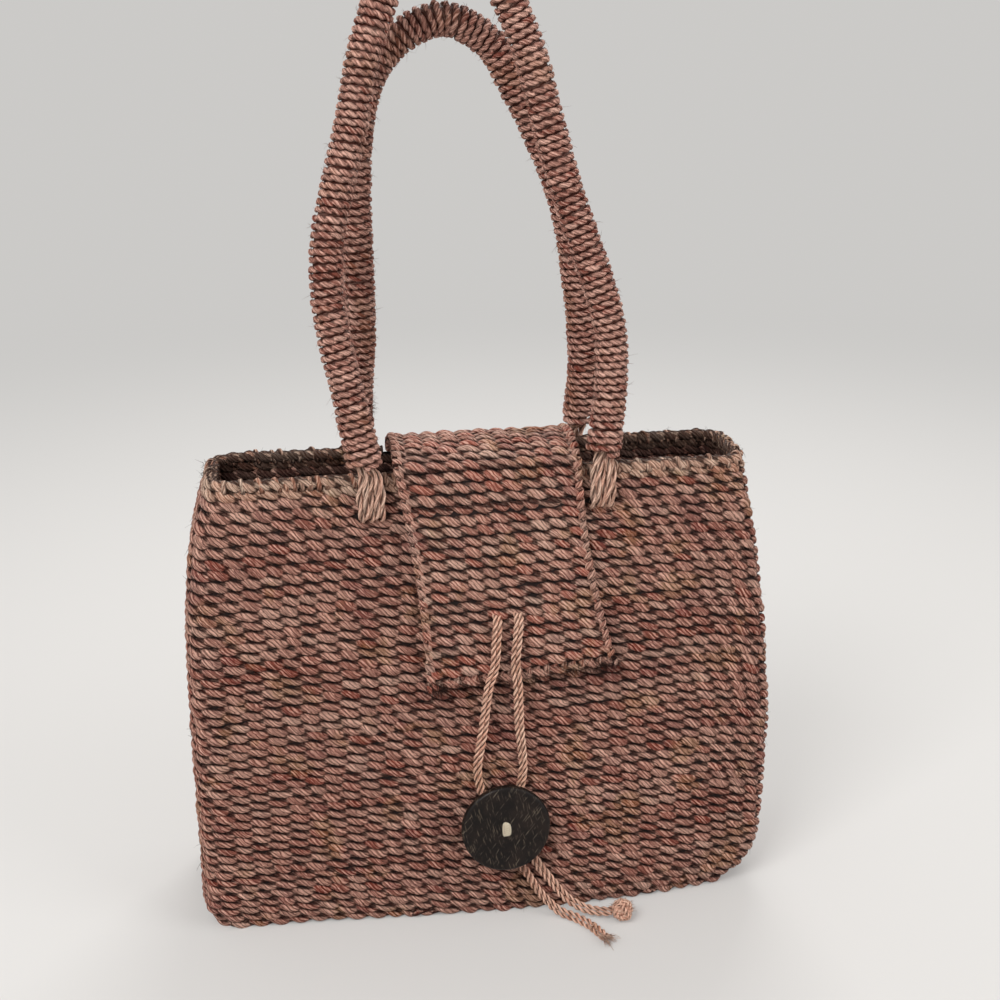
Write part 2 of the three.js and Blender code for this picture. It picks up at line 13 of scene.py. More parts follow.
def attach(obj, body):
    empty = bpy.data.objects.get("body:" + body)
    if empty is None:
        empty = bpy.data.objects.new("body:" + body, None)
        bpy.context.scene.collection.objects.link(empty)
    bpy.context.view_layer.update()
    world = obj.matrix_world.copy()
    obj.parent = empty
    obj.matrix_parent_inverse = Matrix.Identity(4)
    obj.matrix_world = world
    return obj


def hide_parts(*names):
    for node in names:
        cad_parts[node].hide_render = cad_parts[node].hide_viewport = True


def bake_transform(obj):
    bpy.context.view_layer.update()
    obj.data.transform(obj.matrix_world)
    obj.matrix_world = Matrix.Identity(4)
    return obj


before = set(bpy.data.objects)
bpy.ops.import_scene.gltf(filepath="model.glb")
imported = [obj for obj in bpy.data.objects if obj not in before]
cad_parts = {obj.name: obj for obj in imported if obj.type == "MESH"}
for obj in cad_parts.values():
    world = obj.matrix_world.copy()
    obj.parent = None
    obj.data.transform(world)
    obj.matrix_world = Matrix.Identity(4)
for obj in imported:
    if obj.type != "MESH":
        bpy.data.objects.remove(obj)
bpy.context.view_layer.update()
MM = 0.001
TURN = 2 * math.pi
X, Y, Z = np.eye(3)


def placed(name, data, sideways=X, up=Y, back=Z, place=(0, 0, 0)):
    """A mesh, a lamp or a camera in the scene, with its own axes along the given directions"""
    thing = bpy.data.objects.new(name, data)
    bpy.context.scene.collection.objects.link(thing)
    pose = Matrix.Identity(4)
    for row in range(3):
        pose[row][:] = (sideways[row], up[row], back[row], place[row])
    thing.matrix_world = pose
    return thing


# Camera

# Its turn to the left of the bag, its look down and its roll in degrees, what it aims at and from how far
CAMERA_TURN, CAMERA_DOWN, CAMERA_ROLL = 8.4, 18.5, -0.6
CAMERA_AIM, CAMERA_AWAY = np.array([11.4, 0.0, 203.9]), 748
CAMERA_LENS, CAMERA_SENSOR, CAMERA_NEAR = 54.0, 36.0, 0.01


def aim_camera():
    around, down, roll = (math.radians(a) for a in (CAMERA_TURN, CAMERA_DOWN, CAMERA_ROLL))
    ahead = np.array([math.sin(around) * math.cos(down), math.cos(around) * math.cos(down), -math.sin(down)])
    level = np.array([math.cos(around), -math.sin(around), 0.0])
    upright = np.cross(level, ahead)
    right = math.cos(roll) * level + math.sin(roll) * upright
    up = -math.sin(roll) * level + math.cos(roll) * upright
    data = bpy.data.cameras.new("studio_camera")
    data.lens, data.sensor_width, data.clip_start = CAMERA_LENS, CAMERA_SENSOR, CAMERA_NEAR
    place = (CAMERA_AIM - CAMERA_AWAY * ahead) * MM
    bpy.context.scene.camera = placed("studio_camera", data, right, up, -ahead, place)


# Shape of the body, with the values of the part's source

HEIGHT, WALL, BELLY = 228.0, 6.0, 70.0
BELLY_HALF_WIDTH, RIM_HALF_WIDTH = 147.0, 131.0
FOOT_HALF_DEPTH, RIM_HALF_DEPTH, CORNER = 47.5, 26.5, 14.0
CROWN, CROWN_LEAN = 7.0, 1.6
LEFT_FOOT, RIGHT_FOOT, FOOT_BACK = (7.0, 15.0), (19.0, 27.0), (3.5, 15.0)
LEFT_CURVE, RIGHT_CURVE, DEPTH_CURVE = 4.5, 2, 1.3
RIGHT_SAG, SAG_HEIGHT = 6, 90
# Stations on the back, the left end, the front and the right end, in that order, and round each corner
SIDE_STEPS, CORNER_STEPS = ((2, 420), (3, 130), (0, 420), (1, 130)), 44


def share(z):
    return np.maximum(0, (z - BELLY) / (HEIGHT - BELLY))


def foot_inset(foot, z):
    inset, height = foot
    return np.where(z < height, inset * (1 - z / height) ** 2, 0.0)


def half_width(left, z):
    fall = BELLY_HALF_WIDTH - RIM_HALF_WIDTH
    if left:
        return BELLY_HALF_WIDTH - fall * share(z) ** LEFT_CURVE - foot_inset(LEFT_FOOT, z)
    sag = RIGHT_SAG * np.maximum(0, 1 - z / SAG_HEIGHT)
    return BELLY_HALF_WIDTH - fall * share(z) ** RIGHT_CURVE - foot_inset(RIGHT_FOOT, z) - sag


def half_depth(z):
    up = np.maximum(z, 0) / HEIGHT
    return FOOT_HALF_DEPTH - (FOOT_HALF_DEPTH - RIM_HALF_DEPTH) * up ** DEPTH_CURVE - foot_inset(FOOT_BACK, z)


def crown(z):
    return CROWN * np.cos(math.pi / 2 * np.clip(z / HEIGHT, 0, 1) ** 0.9)


def crown_share(along):
    return 1 - (2 * np.clip(along, 0, 1) ** CROWN_LEAN - 1) ** 2


def front_face(z, x=0.0):
    left, right = half_width(True, z) - CORNER, half_width(False, z) - CORNER
    return half_depth(z) + crown(z) * crown_share((x + left) / (left + right))


def ring_stations():
    """Side, part of it, turn of the face and 1 where it is straight, at each station round the body; they
    start at the back right corner"""
    stations = []
    for side, count in SIDE_STEPS:
        turn = (side - 1) * 90
        stations += [(side, part, turn, 1) for part in np.linspace(0, 1, count, endpoint=False)]
        for part in np.linspace(0, 1, CORNER_STEPS, endpoint=False):
            stations.append((side, 1.0, turn + 90 * part, 0))
    return np.array(stations).T


STATIONS = ring_stations()


def plan(z, inset):
    """Points round the body, z millimetres up at each station and inset from its outer face"""
    side, part, turn, straight = STATIONS
    side = side.astype(int)
    left, right, deep = half_width(True, z) - CORNER, half_width(False, z) - CORNER, half_depth(z) - CORNER
    corners = np.stack([
        np.stack([-left, -deep]), np.stack([right, -deep]), np.stack([right, deep]), np.stack([-left, deep]),
    ])
    here = np.arange(len(z))
    corner = (1 - part) * corners[side, :, here].T + part * corners[(side + 1) % 4, :, here].T
    angle = np.radians(turn)
    away = np.stack([np.cos(angle), np.sin(angle)])
    along = np.where(side == 2, 1 - part, part)
    bulge = np.where((side % 2 == 0) & (straight > 0), crown(z) * crown_share(along), 0.0)
    x, y = corner + (CORNER - inset + bulge) * away
    return np.stack([x, y, z], axis=1)


# Strand building

# Steps of a ply and of a stitch in each of their turns
PLY_STEPS, STITCH_STEPS = 9, 15
# Plies press into one another
PLY_SWELL = 1.08
# A row's drift, the rise and fall of its stitches, and their width where they pass and where they show
ROW_SWAY, STITCH_RISE, STITCH_WIDTH, STITCH_SWELL = 0.42, 0.21, 0.31, 0.17
TONE_SPREAD, SIZE_SPREAD = 0.22, 0.12


def unit(vectors):
    return vectors / np.maximum(np.linalg.norm(vectors, axis=-1, keepdims=True), 1e-12)


def lengths(line):
    return np.concatenate([[0], np.cumsum(np.linalg.norm(np.diff(line, axis=0), axis=1))])


def read_at(goal, at, values):
    """Values along a line, read at other places on it"""
    return np.stack([np.interp(goal, at, v) for v in np.atleast_2d(np.asarray(values).T)], axis=-1)


def respaced(line, count, closed=False, extra=()):
    """The line, and any values along it, at evenly spaced stations"""
    if closed:
        line = np.vstack([line, line[:1]])
        extra = [np.concatenate([e, e[:1]]) for e in extra]
    at = lengths(line)
    goal = np.linspace(0, at[-1], count, endpoint=not closed)
    out = [read_at(goal, at, v) for v in (line, *extra)]
    return (out[0], at[-1], *out[1:])


def smooth_line(points, parts=20):
    """The centripetal curve through the points, as the part's source draws it"""
    points = np.asarray(points, float)
    spread = np.vstack([2 * points[0] - points[1], points, 2 * points[-1] - points[-2]])
    w = np.linspace(0, 1, parts, endpoint=False)[:, None]
    pieces = []
    for p0, p1, p2, p3 in zip(spread, spread[1:], spread[2:], spread[3:]):
        g0, g1, g2 = (max(np.linalg.norm(b - a) ** 0.5, 1e-4) for a, b in ((p0, p1), (p1, p2), (p2, p3)))
        t1 = ((p1 - p0) / g0 - (p2 - p0) / (g0 + g1) + (p2 - p1) / g1) * g1
        t2 = ((p2 - p1) / g1 - (p3 - p1) / (g1 + g2) + (p3 - p2) / g2) * g1
        square, cube = 3 * (p2 - p1) - 2 * t1 - t2, 2 * (p1 - p2) + t1 + t2
        pieces.append(p1 + t1 * w + square * w ** 2 + cube * w ** 3)
    return np.vstack([*pieces, points[-1:]])


def grid_quads(rows, columns, rows_close=False, columns_close=False):
    """Quads between the points of a grid, whose rows or columns may close on themselves"""
    high, wide = rows - (not rows_close), columns - (not columns_close)
    i, j = np.meshgrid(np.arange(high), np.arange(wide), indexing="ij")
    a, b = (i + 1) % rows, (j + 1) % columns
    corners = [i * columns + j, i * columns + b, a * columns + b, a * columns + j]
    return np.stack(corners, axis=-1).reshape(-1, 4)


def spokes(angle, first, second):
    """Directions at each angle between two others, which stand square to each other"""
    return np.cos(angle)[:, None] * first + np.sin(angle)[:, None] * second


def directions(line, closed=False):
    if closed:
        return unit(np.roll(line, -1, axis=0) - np.roll(line, 1, axis=0))
    return unit(np.gradient(line, axis=0))


def carried(line, first=Z):
    """Two side directions along a line, turned no more than the line turns"""
    ahead = directions(line)
    sides = np.zeros_like(line)
    side = first - ahead[0] * np.dot(first, ahead[0])
    if np.linalg.norm(side) < 0.1:
        side = Y - ahead[0] * np.dot(Y, ahead[0])
    for step, along in enumerate(ahead):
        side = side - along * np.dot(side, along)
        side /= np.linalg.norm(side)
        sides[step] = side
    return sides, np.cross(ahead, sides)


class Strands:
    """Tubes of straw in one mesh; each point knows its place along and round its strand,
    the tone of its stitch and how far it stands out of the gaps, which sets the painted shade on it"""

    def __init__(self, seed):
        self.dice = np.random.default_rng(seed)
        self.points, self.quads, self.fans = [], [], []
        self.straw, self.tint, self.depth = [], [], []
        self.count = 0

    def add(self, line, wide, thick, reach_wide, reach_thick, tint=0.5, depth=1.0, sides=6, closed=False):
        """A tube along the line; wide and thick are its two side directions, with their own radii; depth,
        which sets the painted shade, goes by step, or by step and side"""
        steps = len(line)
        angle = np.linspace(0, TURN, sides, endpoint=False)
        reach_wide, reach_thick, tint = (
            np.broadcast_to(np.asarray(v, float), (steps,)) for v in (reach_wide, reach_thick, tint)
        )
        depth = np.asarray(depth, float)
        depth = np.broadcast_to(depth if depth.ndim == 2 else depth.reshape(-1, 1), (steps, sides))
        offset = (
            np.cos(angle)[None, :, None] * (wide * reach_wide[:, None])[:, None, :]
            + np.sin(angle)[None, :, None] * (thick * reach_thick[:, None])[:, None, :]
        )
        points = (line[:, None, :] + offset).reshape(-1, 3)
        quads = grid_quads(steps, sides, closed, True)
        middle = steps // 2
        if np.dot(np.cross(wide[middle], thick[middle]), directions(line, closed)[middle]) < 0:
            quads = quads[:, ::-1]
        at = lengths(line) + self.dice.uniform(0, 900)
        straw = np.stack([
            np.repeat(at, sides), np.tile(np.cos(angle), steps) * np.repeat(reach_wide, sides),
            np.tile(np.sin(angle), steps) * np.repeat(reach_thick, sides),
        ], axis=1)
        start = self.count
        self.put(points, straw, np.repeat(tint, sides), depth.ravel(), quads)
        for end in () if closed else (0, steps - 1):
            row = end * sides + np.arange(sides)
            fan = np.stack([start + row, start + np.roll(row, -1), np.full(sides, self.count)], axis=1)
            outward = np.cross(points[row[1]] - points[row[0]], line[end] - points[row[0]])
            way = directions(line)[end] * (1 if end else -1)
            self.fans.append(fan if np.dot(outward, way) > 0 else fan[:, ::-1])
            self.put(line[end][None], straw[row[0]][None], tint[end:end + 1], depth[end, :1])

    def put(self, points, straw, tint, depth, quads=None):
        if quads is not None:
            self.quads.append(quads + self.count)
        self.points.append(points)
        self.straw.append(straw)
        self.tint.append(tint)
        self.depth.append(depth)
        self.count += len(points)

    def sheet(self, points, quads):
        """A plain sheet, dark as painted shade"""
        self.put(points, points * 0, np.full(len(points), 0.3), np.zeros(len(points)), quads)

    def plied(self, line, radius, plies=2, twist=7.0, tint=0.5, spread=0.14, sides=6, swing=0.0, side=Z):
        """Plies turned round one another along a line, radius being the whole cord's"""
        ply = radius / (1 + 1 / math.sin(math.pi / plies))
        offset = radius - ply
        long = lengths(line)[-1]
        line = respaced(line, max(6, int(long / twist * PLY_STEPS)))[0]
        wide, thick = carried(line, side)
        at = lengths(line)
        for number in range(plies):
            angle = TURN * (at / twist + number / plies) + swing
            arm = spokes(angle, wide, thick)
            tone = tint + self.dice.normal(0, spread) + 0.12 * np.sin(at / 9 + self.dice.uniform(0, TURN))
            size = ply * PLY_SWELL
            # Painted shade where the plies meet: the straw is darkened there
            outward = np.cos(np.linspace(0, TURN, sides, endpoint=False) - angle[:, None])
            depth = np.clip(0.7 + 0.5 * outward, 0.35, 1)
            self.add(line + arm * offset, wide, thick, size, size, np.clip(tone, 0, 1), depth, sides)

    def twined(self, line, up, out, pitch, period=18.6, closed=False, arm=1.15, bulk=1.5, tone=0.0, sides=8):
        """One row of twining: two strands that change places between front and back"""
        long = lengths(np.vstack([line, line[:1]]) if closed else line)[-1]
        turns = max(2, round(long / period)) if closed else long / period
        count = int(turns * STITCH_STEPS) + (0 if closed else 1)
        line, _, up, out, pitch = respaced(line, count, closed, (up, out, pitch))
        up, out, pitch = unit(up), unit(out), pitch[:, 0]
        at = np.linspace(0, 1, count, endpoint=not closed)
        phase = TURN * turns * at + self.wobble(count, 16) * 0.8
        sway = self.wobble(count, 11) * ROW_SWAY
        for number in range(2):
            turn = phase + math.pi * number
            stitch = np.floor(turn / TURN + 0.25).astype(int)
            if closed:
                stitch %= int(turns)
            stitch -= stitch.min()
            face = np.cos(turn)
            tones = np.clip(0.5 + tone + self.dice.normal(0, TONE_SPREAD, stitch.max() + 1), 0, 1)[stitch]
            sizes = np.clip(1 + self.dice.normal(0, SIZE_SPREAD, stitch.max() + 1), 0.78, 1.25)[stitch]
            # A stitch changes its size only where it is behind the row
            size = 1 + (sizes - 1) * np.clip(2 * face, 0, 1)
            rise = sway - STITCH_RISE * pitch * np.sin(turn)
            path = line + out * (arm * face)[:, None] + up * rise[:, None]
            full = np.abs(face) ** 0.8
            wide = pitch * size * (STITCH_WIDTH + STITCH_SWELL * full)
            thick = bulk * size * (0.78 + 0.34 * full)
            # Painted shade: a strand darkens as it goes behind the row
            shown = np.clip(0.5 + 1.4 * face, 0.32, 1)
            self.add(path, up, out, wide, thick, tones, shown, sides, closed)

    def wobble(self, count, knots_apart):
        """Slow random change along a row, from about -1 to 1, that comes back to its start"""
        knots = max(4, count // knots_apart)
        values = self.dice.normal(0, 0.6, knots)
        at = np.linspace(0, knots, count, endpoint=False)
        low = np.floor(at).astype(int)
        part = at - low
        part = part * part * (3 - 2 * part)
        return values[low % knots] * (1 - part) + values[(low + 1) % knots] * part

    def hairs(self, roots, ways, long, radius=0.16, droop=0.25, tint=0.75):
        """Loose fibres: thin tapering threads that lean and bend on their own"""
        for root, way in zip(roots, ways):
            reach = long * self.dice.uniform(0.4, 1.3)
            bend = unit(self.dice.normal(0, 1, 3)) * reach * 0.35
            part = np.linspace(0, 1, 5)[:, None]
            line = root + way * reach * part + bend * part ** 2 - Z * droop * reach * part ** 2
            wide, thick = carried(line, unit(self.dice.normal(0, 1, 3)))
            size = radius * self.dice.uniform(0.6, 1.3) * np.linspace(1, 0.25, 5)
            self.add(line, wide, thick, size, size, np.clip(tint + self.dice.normal(0, 0.2), 0, 1), 1.0, 3)

    def piece(self, name, material):
        mesh = bpy.data.meshes.new(name)
        points = np.concatenate(self.points) * MM
        quads = np.concatenate(self.quads) if self.quads else np.zeros((0, 4), int)
        fans = np.concatenate(self.fans) if self.fans else np.zeros((0, 3), int)
        corners = np.concatenate([quads.ravel(), fans.ravel()])
        sizes = np.concatenate([np.full(len(quads), 4), np.full(len(fans), 3)])
        mesh.vertices.add(len(points))
        mesh.vertices.foreach_set("co", points.ravel())
        mesh.loops.add(len(corners))
        mesh.loops.foreach_set("vertex_index", corners.astype(np.int32))
        mesh.polygons.add(len(sizes))
        mesh.polygons.foreach_set("loop_start", np.concatenate([[0], np.cumsum(sizes)[:-1]]).astype(np.int32))
        mesh.update()
        mesh.validate()
        mesh.shade_smooth()
        for key, kind, field, values in (
            ("straw", "FLOAT_VECTOR", "vector", self.straw), ("tint", "FLOAT", "value", self.tint),
            ("depth", "FLOAT", "value", self.depth),
        ):
            mesh.attributes.new(key, kind, "POINT").data.foreach_set(field, np.concatenate(values).ravel())
        mesh.materials.append(material)
        return placed(name, mesh)


# Materials

def linear(code):
    channels = [int(code[i:i + 2], 16) / 255 for i in (1, 3, 5)]
    return tuple(c / 12.92 if c <= 0.04045 else ((c + 0.055) / 1.055) ** 2.4 for c in channels) + (1.0,)


class Tree:
    """Short calls for placing and linking shader nodes"""

    def __init__(self, tree):
        self.tree = tree
        tree.nodes.clear()

    def node(self, kind, settings=(), **values):
        node = self.tree.nodes.new(kind)
        for key, value in dict(settings).items():
            setattr(node, key, value)
        for key, value in values.items():
            self.set(node.inputs[key.replace("_", " ")], value)
        return node

    def set(self, socket, value):
        if isinstance(value, bpy.types.NodeSocket):
            self.tree.links.new(value, socket)
        else:
            socket.default_value = value

    def math(self, operation, first, second=0.0):
        node = self.node("ShaderNodeMath", {"operation": operation})
        self.set(node.inputs[0], first)
        self.set(node.inputs[1], second)
        return node.outputs[0]

    def times(self, first, second):
        return self.math("MULTIPLY", first, second)

    def mix(self, part, first, second):
        node = self.node("ShaderNodeMix", {"data_type": "RGBA"})
        self.set(node.inputs[0], part)
        self.set(node.inputs[6], first)
        self.set(node.inputs[7], second)
        return node.outputs[2]

    def span(self, value, low, high, to_low=0.0, to_high=1.0):
        node = self.node("ShaderNodeMapRange", {"interpolation_type": "SMOOTHSTEP"})
        for index, item in enumerate((value, low, high, to_low, to_high)):
            self.set(node.inputs[index], item)
        return node.outputs[0]

    def scaled(self, vector, scale):
        node = self.node("ShaderNodeVectorMath", {"operation": "MULTIPLY"})
        self.set(node.inputs[0], vector)
        node.inputs[1].default_value = scale
        return node.outputs[0]

    def turned(self, vector, degrees):
        """The vector, turned about the y axis"""
        angle = math.radians(degrees)
        node = self.node("ShaderNodeVectorRotate", {"rotation_type": "Y_AXIS"}, Vector=vector, Angle=angle)
        return node.outputs[0]

    def noise(self, vector, scale, detail=2.0, rough=0.5):
        node = self.node("ShaderNodeTexNoise", Vector=vector, Scale=scale, Detail=detail, Roughness=rough)
        return node.outputs["Fac"]

    def place(self):
        """Place on the object, in metres"""
        return self.node("ShaderNodeTexCoord").outputs["Object"]

    def bump(self, height, strength, distance):
        return self.node("ShaderNodeBump", Height=height, Strength=strength, Distance=distance).outputs[0]

    def surface(self, shader):
        self.node("ShaderNodeOutputMaterial", Surface=shader.outputs[0])


def new_material(name):
    material = bpy.data.materials.new(name)
    material.use_nodes = True
    return material, Tree(material.node_tree)


def group_tree(name, inputs, outputs):
    tree = bpy.data.node_groups.new(name, "ShaderNodeTree")
    kinds = {"colour": "NodeSocketColor", "value": "NodeSocketFloat"}
    for label, kind in inputs:
        tree.interface.new_socket(label, in_out="INPUT", socket_type=kinds[kind])
    for label, kind in outputs:
        tree.interface.new_socket(label, in_out="OUTPUT", socket_type=kinds[kind])
    nodes = Tree(tree)
    return tree, nodes, nodes.node("NodeGroupInput").outputs, nodes.node("NodeGroupOutput").inputs


def straw_group():
    """Colour, roughness and relief of straw: strands laid up from thinner bundles, fibres along them,
    tones that change from stitch to stitch, painted highlights on the bundles' crests, and painted shade in
    their creases and in the gaps"""
    tree, nodes, given, out = group_tree(
        "straw_fibres",
        [("Light", "colour"), ("Middle", "colour"), ("Deep", "colour"), ("Patch", "colour"),
         ("Second patch", "colour"), ("Patch share", "value"), ("Streaks", "value"), ("Bundles", "value"),
         ("Lay", "value"), ("Edge shade", "value")],
        [("Colour", "colour"), ("Roughness", "value"), ("Height", "value")],
    )
    straw = nodes.node("ShaderNodeAttribute", {"attribute_name": "straw"}).outputs["Vector"]
    tint = nodes.node("ShaderNodeAttribute", {"attribute_name": "tint"}).outputs["Fac"]
    depth = nodes.node("ShaderNodeAttribute", {"attribute_name": "depth"}).outputs["Fac"]
    place = nodes.place()
    parts = nodes.node("ShaderNodeSeparateXYZ", Vector=straw).outputs
    # Bundles wind along the strand, unevenly, and creases part them; the creases get painted shade
    round_it = nodes.math("ARCTAN2", parts["Z"], parts["Y"])
    along = nodes.times(parts["X"], given["Lay"])
    wind = nodes.math("SUBTRACT", nodes.times(round_it, given["Bundles"]), along)
    uneven = nodes.times(nodes.noise(nodes.scaled(straw, (0.3, 0.45, 0.45)), 1.0, 2.0), 7.0)
    wave = nodes.math("ABSOLUTE", nodes.math("SINE", nodes.times(nodes.math("ADD", wind, uneven), 0.5)))
    crease = nodes.span(wave, 0.0, 0.62)
    # Coarse fibres turn with the bundles, and fine ones run along the strand
    follow = nodes.node(
        "ShaderNodeCombineXYZ", X=nodes.times(parts["X"], 0.12), Y=nodes.times(wind, 0.42),
        Z=nodes.times(parts["X"], 0.013),
    ).outputs[0]
    coarse = nodes.span(nodes.noise(follow, 1.0, 3.0, 0.6), 0.38, 0.6)
    fine = nodes.span(nodes.noise(nodes.scaled(straw, (0.35, 5.5, 5.5)), 1.7, 2.0, 0.6), 0.38, 0.62)
    # Each stitch has its tone, and other tones come in patches over the whole bag
    patch = nodes.span(nodes.noise(place, 52.0, 2.0), 0.55, 0.66)
    second = nodes.span(nodes.noise(nodes.scaled(place, (61.0, 43.0, 70.0)), 1.0, 2.0), 0.54, 0.66)
    colour = nodes.mix(nodes.times(tint, 0.8), given["Middle"], given["Light"])
    colour = nodes.mix(nodes.times(patch, given["Patch share"]), colour, given["Patch"])
    colour = nodes.mix(nodes.times(second, given["Patch share"]), colour, given["Second patch"])
    # Painted highlights on the bundles' crests, dark fibre streaks with painted shade in the creases, then
    # painted shade on the strands' edges and where they sink into the gaps
    crest = nodes.times(nodes.span(fine, 0.0, 1.0, 0.3, 1.0), nodes.span(wave, 0.4, 0.95))
    colour = nodes.mix(nodes.times(crest, coarse), colour, given["Light"])
    between = nodes.times(nodes.math("SUBTRACT", 1.0, coarse), 0.6)
    dark = nodes.math("MAXIMUM", between, nodes.math("SUBTRACT", 1.0, crease))
    colour = nodes.mix(nodes.times(dark, given["Streaks"]), colour, given["Deep"])
    side = nodes.times(nodes.span(nodes.math("ABSOLUTE", parts["Z"]), 0.3, 1.3, 1.0, 0.0), given["Edge shade"])
    sunk = nodes.math("MAXIMUM", nodes.span(depth, 0.3, 0.8, 0.84, 0.0), side)
    nodes.set(out["Colour"], nodes.mix(sunk, colour, given["Deep"]))
    nodes.set(out["Roughness"], nodes.span(nodes.times(coarse, crease), 0.0, 1.0, 0.95, 0.42))
    relief = nodes.math("ADD", nodes.times(wave, 0.7), nodes.times(coarse, 0.18))
    nodes.set(out["Height"], nodes.math("ADD", relief, nodes.times(fine, 0.12)))
    return tree


STRAW = straw_group()


def straw_material(
    name, light, middle, deep, patch, second, patch_share=0.35, streaks_and_shade=0.85, bundles=4.0, lay=1.95,
    edge=0.92, relief=0.0014,
):
    """Straw in the given tones, deep being its painted shade and light also its painted highlights; bundles
    wind round its strands by their lay, and edge paints shade on their sides
    """
    material, nodes = new_material(name)
    straw = nodes.node("ShaderNodeGroup", {"node_tree": STRAW})
    tones = {"Light": light, "Middle": middle, "Deep": deep, "Patch": patch, "Second patch": second}
    for label, code in tones.items():
        straw.inputs[label].default_value = linear(code)
    values = {"Patch share": patch_share, "Streaks": streaks_and_shade, "Bundles": bundles, "Lay": lay, "Edge shade": edge}
    for label, value in values.items():
        straw.inputs[label].default_value = value
    shader = nodes.node(
        "ShaderNodeBsdfPrincipled", Base_Color=straw.outputs["Colour"], Roughness=straw.outputs["Roughness"],
        Normal=nodes.bump(straw.outputs["Height"], 0.9, relief), Specular_IOR_Level=0.22,
    )
    nodes.surface(shader)
    return material


def plain_material(name, colour):
    material, nodes = new_material(name)
    grain = nodes.noise(nodes.place(), 260.0, 3.0, 0.6)
    dark = tuple(0.45 * c for c in linear(colour)[:3]) + (1.0,)
    tone = nodes.mix(nodes.span(grain, 0.35, 0.7), dark, linear(colour))
    bump = nodes.bump(grain, 0.6, 0.0004)
    nodes.surface(nodes.node("ShaderNodeBsdfPrincipled", Base_Color=tone, Roughness=0.9, Normal=bump))
    return material


def shell_material():
    material, nodes = new_material("coconut_shell")
    place = nodes.place()
    mottled = nodes.span(nodes.noise(place, 120.0, 4.0, 0.6), 0.36, 0.66)
    flecks, scratches = (
        nodes.span(nodes.noise(nodes.scaled(nodes.turned(place, lean), scale), 1.0, 2.0), low, high)
        for lean, scale, low, high in (
            (14, (1500.0, 900.0, 170.0), 0.58, 0.7), (-38, (1900.0, 160.0, 130.0), 0.64, 0.72),
        )
    )
    colour = nodes.mix(mottled, linear("#0F0907"), linear("#1E1511"))
    colour = nodes.mix(nodes.times(flecks, 0.7), colour, linear("#5F5346"))
    colour = nodes.mix(nodes.times(scratches, 0.5), colour, linear("#857868"))
    height = nodes.math("ADD", nodes.times(mottled, 0.5), nodes.times(scratches, -0.4))
    shader = nodes.node(
        "ShaderNodeBsdfPrincipled", Base_Color=colour, Roughness=nodes.span(mottled, 0.0, 1.0, 0.5, 0.36),
        Normal=nodes.bump(height, 0.5, 0.0003), Specular_IOR_Level=0.22,
    )
    nodes.surface(shader)
    return material


# Each straw's third tone is the painted shade of its gaps and creases, and its first tone also paints the
# highlights on its crests
weave_straw = straw_material("weave_straw", "#FFD0BA", "#BA5E4C", "#1C0100", "#CC9A58", "#A05C5C")
rim_straw = straw_material("rim_straw", "#FFE2CA", "#F0A484", "#240500", "#D0A468", "#AA6C5A", 0.45, 0.78)
flap_straw = straw_material("flap_straw", "#FFD8C2", "#DE7C66", "#1C0100", "#CC9C5A", "#A06264", streaks_and_shade=0.78)
handle_straw = straw_material(
    "handle_straw", "#FFCCB8", "#9C5242", "#240400", "#BE865E", "#A2645A", 0.3, 0.6, 3.0, 2.0, 0.4, 0.0006,
)
core_straw = straw_material(
    "core_straw", "#E0B294", "#A0705C", "#300D06", "#A87A58", "#96605C", 0.3, 0.5, 3.0, 1.0, 0.0,
)
tie_straw = straw_material(
    "tie_straw", "#FFE0CA", "#F6AE92", "#2C0A02", "#C89672", "#AE746A", 0.3, 0.65, 3.0, 1.1, 0.0, 0.0006,
)
cord_straw = straw_material(
    "cord_straw", "#FFDCC4", "#F2A88C", "#280800", "#CA9468", "#A66E5E", 0.3, 0.5, 3.0, 1.6, 0.0, 0.0004,
)
thread_cotton = straw_material(
    "thread_cotton", "#FAF2DE", "#E6D8BC", "#8A7458", "#E6D8BE", "#D9C7A8", 0.3, 0.35, 2.0, 3.0, 0.0, 0.0001,
)
dark_thread = straw_material(
    "dark_thread", "#5A4034", "#3A2620", "#140C0A", "#4A342A", "#3A2A22", 0.3, 0.5, 2.0, 2.0, 0.0, 0.0001,
)
# Painted shade: a dark colour for the sheets that stand for the shade behind the rows
shade_sheet_dark = plain_material("inner_straw_shadow", "#24100B")
shell = shell_material()


# Flap, as in the part's source: a sheet over the mouth, folded at the front edge

FLAP_MIDDLE, FLAP_HALF, FLAP_THICK, FLAP_LONG = 1.5, 44.0, 5.0, 102.0
FLAP_DRIFT, FLAP_TILT = math.tan(math.radians(6.5)), math.tan(math.radians(4.7))
FLAP_FLARE, FLAP_WAIST, STAND_OFF = 0.045, 0.055, 0.5
REAR, ARCH, FOLD = np.array([23.5, 228.0]), np.array([-3.275, 247.7]), np.array([-30.05, 231.4])
HOLE_DEPTH, HOLE_SPACING, HOLE_MIDDLE = FLAP_LONG - 30.0, 10.5, -2.5
RIM_DEEP, RIM_PROUD, FOLD_REACH = 16, 0.75, 4


def flap_top_length():
    t = np.linspace(0, 1, 200)[:, None]
    return lengths((1 - t) ** 2 * REAR + 2 * t * (1 - t) * ARCH + t ** 2 * FOLD)[-1]


FLAP_TOP = flap_top_length()


def flap_middle(depth):
    """Middle of the flap's thickness; depth is from the fold, less than 0 on the top"""
    depth = np.asarray(depth, float)
    t = np.clip(-depth / FLAP_TOP, 0, 1.08)[:, None]
    top = (1 - t) ** 2 * FOLD + 2 * t * (1 - t) * ARCH + t ** 2 * REAR
    z = FOLD[1] - depth
    y = -(front_face(z) + np.where(z > HEIGHT - RIM_DEEP, RIM_PROUD, 0.0) + STAND_OFF + FLAP_THICK / 2)
    front = np.stack([y, z], axis=1)
    blend = np.clip((depth + FOLD_REACH) / (2 * FOLD_REACH), 0, 1)[:, None]
    blend = blend * blend * (3 - 2 * blend)
    return (1 - blend) * top + blend * front


